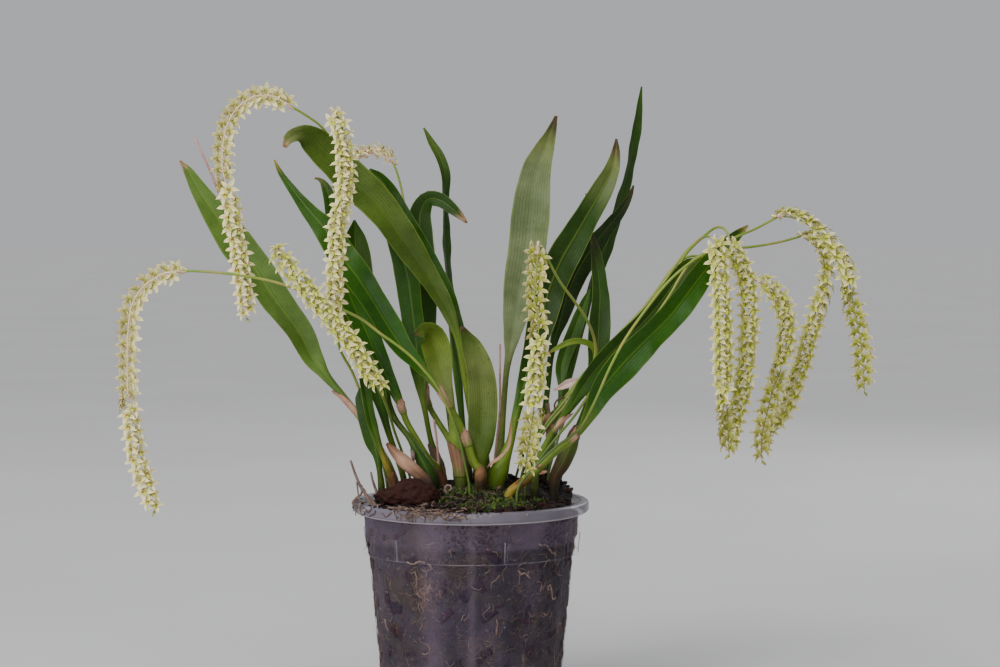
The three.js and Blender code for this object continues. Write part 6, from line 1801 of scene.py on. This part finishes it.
flower_points, flower_faces, flower_slots, flower_shades = flower_pattern()
flower_greening = np.full(len(flower_points), -1.0)
lip_faces = [face for face, slot in zip(flower_faces, flower_slots) if slot == 1]
flower_greening[[corner for face in lip_faces for corner in face]] = LIP_TURN
bud_points, bud_faces, _ = shaped(BUD)
bract_points, bract_faces, _ = shaped(BRACT)
rng = np.random.default_rng(CHAIN_SEED)
for number, spray in enumerate(SPRAYS, 1):
    line = rooted_line(spray["stalk"])
    points, faces = stalk_tube(line, lambda share: STALK_RADIUS * MM * (0.78 + 0.6 * share * (1 - share)))
    stalk = new_mesh(f"wiry_stalk_{number:02d}", points, faces)
    stalk.data.materials.append(stalk_green.material)
    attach(stalk, "root")
    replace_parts(stalk, f"flower_stalk_{number:02d}")

    chain = Heap()
    line = placed(spray["chain"])
    axis, axis_faces = stalk_tube(line, lambda share: AXIS_RADIUS * MM * (1.1 - 0.6 * share), 6, 1.6)
    chain.put(axis, axis_faces, 0.0, 3 if spray["green"] else 2)
    start, towards, front = (part[0] for part in line_frames(line, np.array([0.0, 1.0])))
    turn = np.stack([towards, np.cross(front, towards), front], axis=1)
    chain.put(bract_points @ turn.T + start - towards * BRACT_BACK * MM, bract_faces, 0.0, 2)
    length = even_steps(line, 2)[1]
    steps = int(round(length / (FLOWER_STEP * MM)))
    t = even_steps(line, 2 * steps + 1)[0][1::2]
    centre, along, view = line_frames(line, t)
    faced = np.radians(smooth_values(spray["face"], (np.arange(steps) + 0.5) / steps))
    for step in range(steps):
        front = view[step] * math.cos(faced[step]) + np.cross(along[step], view[step]) * math.sin(faced[step])
        side = np.cross(along[step], front)
        hand = 1 if step % 2 else -1
        size = min(1, CHAIN_TIP_SCALE + (steps - step) * 0.06) * rng.uniform(0.93, 1.05)
        turn = math.radians(FLOWER_TURN + rng.normal(0, 7))
        nod = math.radians(FLOWER_NOD + rng.normal(0, 9))
        middle = centre[step] + (front * FLOWER_FORWARD + side * hand * FLOWER_ASIDE) * size * MM
        outward = front * math.cos(turn) + side * hand * math.sin(turn)
        facing = unit(outward * math.cos(nod) - along[step] * math.sin(nod))
        upward = along[step] * -math.cos(nod) - outward * math.sin(nod)
        upward = unit(upward + side * hand * rng.normal(0.5, 0.2))
        upward = unit(upward - facing * upward.dot(facing))
        across = np.cross(upward, facing)
        turn = np.stack([facing, across, upward], axis=1)
        if step < steps - BUDS:
            shades = flower_shades + flower_greening * spray["green"]
            slots = 2 if spray.get("faded") and step % 2 else flower_slots
            chain.put(flower_points * size @ turn.T + middle, flower_faces, shades, slots)
        else:
            lean = unit(along[step] + facing * 0.7)
            turn = np.stack([lean, np.cross(facing, lean), np.cross(lean, np.cross(facing, lean))], axis=1)
            chain.put(bud_points * size * BUD_SCALE @ turn.T + centre[step], bud_faces, 0.15)
    piece = chain.piece(f"hanging_flowers_{number:02d}", [tepal_cream, lip_finish, ovary_finish, stalk_green])
    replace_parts(piece, f"flower_chain_{number:02d}")


# Stage: a plain pale floor, and the soft light of a small studio: a wide softbox at the left, a narrow
# one by the camera, both of which are reflected along two upright bands of the pot's wall that are painted as
# highlights, and weak ones above and behind
FLOOR_SIZE = 60
FLOOR_GREYS = (linear(195, 195, 195), linear(200, 200, 200))
# Lamps: the name, where each is, its width, its height and its power
LIGHTS = [
    ("left_softbox", (-1.1, -1.25, 0.5), 0.5, 1.3, 14),
    ("front_strip", (0.0, -1.9, 0.55), 0.1, 1.0, 6),
    ("top_softbox", (-0.2, -0.3, 1.7), 1.2, 1.2, 5),
    ("back_softbox", (0.9, 1.3, 1.0), 0.8, 0.8, 6),
]
SUN_POWER = 1.7
SUN_TURN = (48, 0, -32)
SUN_SPREAD = 24
SKY_COLOUR = (0.86, 0.87, 0.9, 1)
SKY_STRENGTH = 0.55

bpy.ops.object.select_all(action="DESELECT")
bpy.ops.mesh.primitive_plane_add(size=FLOOR_SIZE)
floor = bpy.context.object
floor.name = "floor"
paper = Finish("paper_floor", Roughness=0.9)
tone = paper.patches(0.3, 0.7, 3, 2)
paper.wire("Base Color", paper.blended(tone, FLOOR_GREYS[0], FLOOR_GREYS[1]))
floor.data.materials.append(paper.material)

for name, at, width, height, power in LIGHTS:
    aim = Vector((0, 0, 0.2)) - Vector(at)
    bpy.ops.object.light_add(type="AREA", location=at, rotation=aim.to_track_quat("-Z", "Y").to_euler())
    lamp = bpy.context.object
    lamp.name = name
    lamp.data.shape = "RECTANGLE"
    lamp.data.size, lamp.data.size_y = width, height
    lamp.data.energy = power
bpy.ops.object.light_add(type="SUN", rotation=[math.radians(angle) for angle in SUN_TURN])
sun = bpy.context.object
sun.name = "room_light"
sun.data.energy = SUN_POWER
sun.data.angle = math.radians(SUN_SPREAD)
world = bpy.data.worlds.new("studio")
world.use_nodes = True
sky = world.node_tree.nodes["Background"]
sky.inputs["Color"].default_value = SKY_COLOUR
sky.inputs["Strength"].default_value = SKY_STRENGTH
bpy.context.scene.world = world
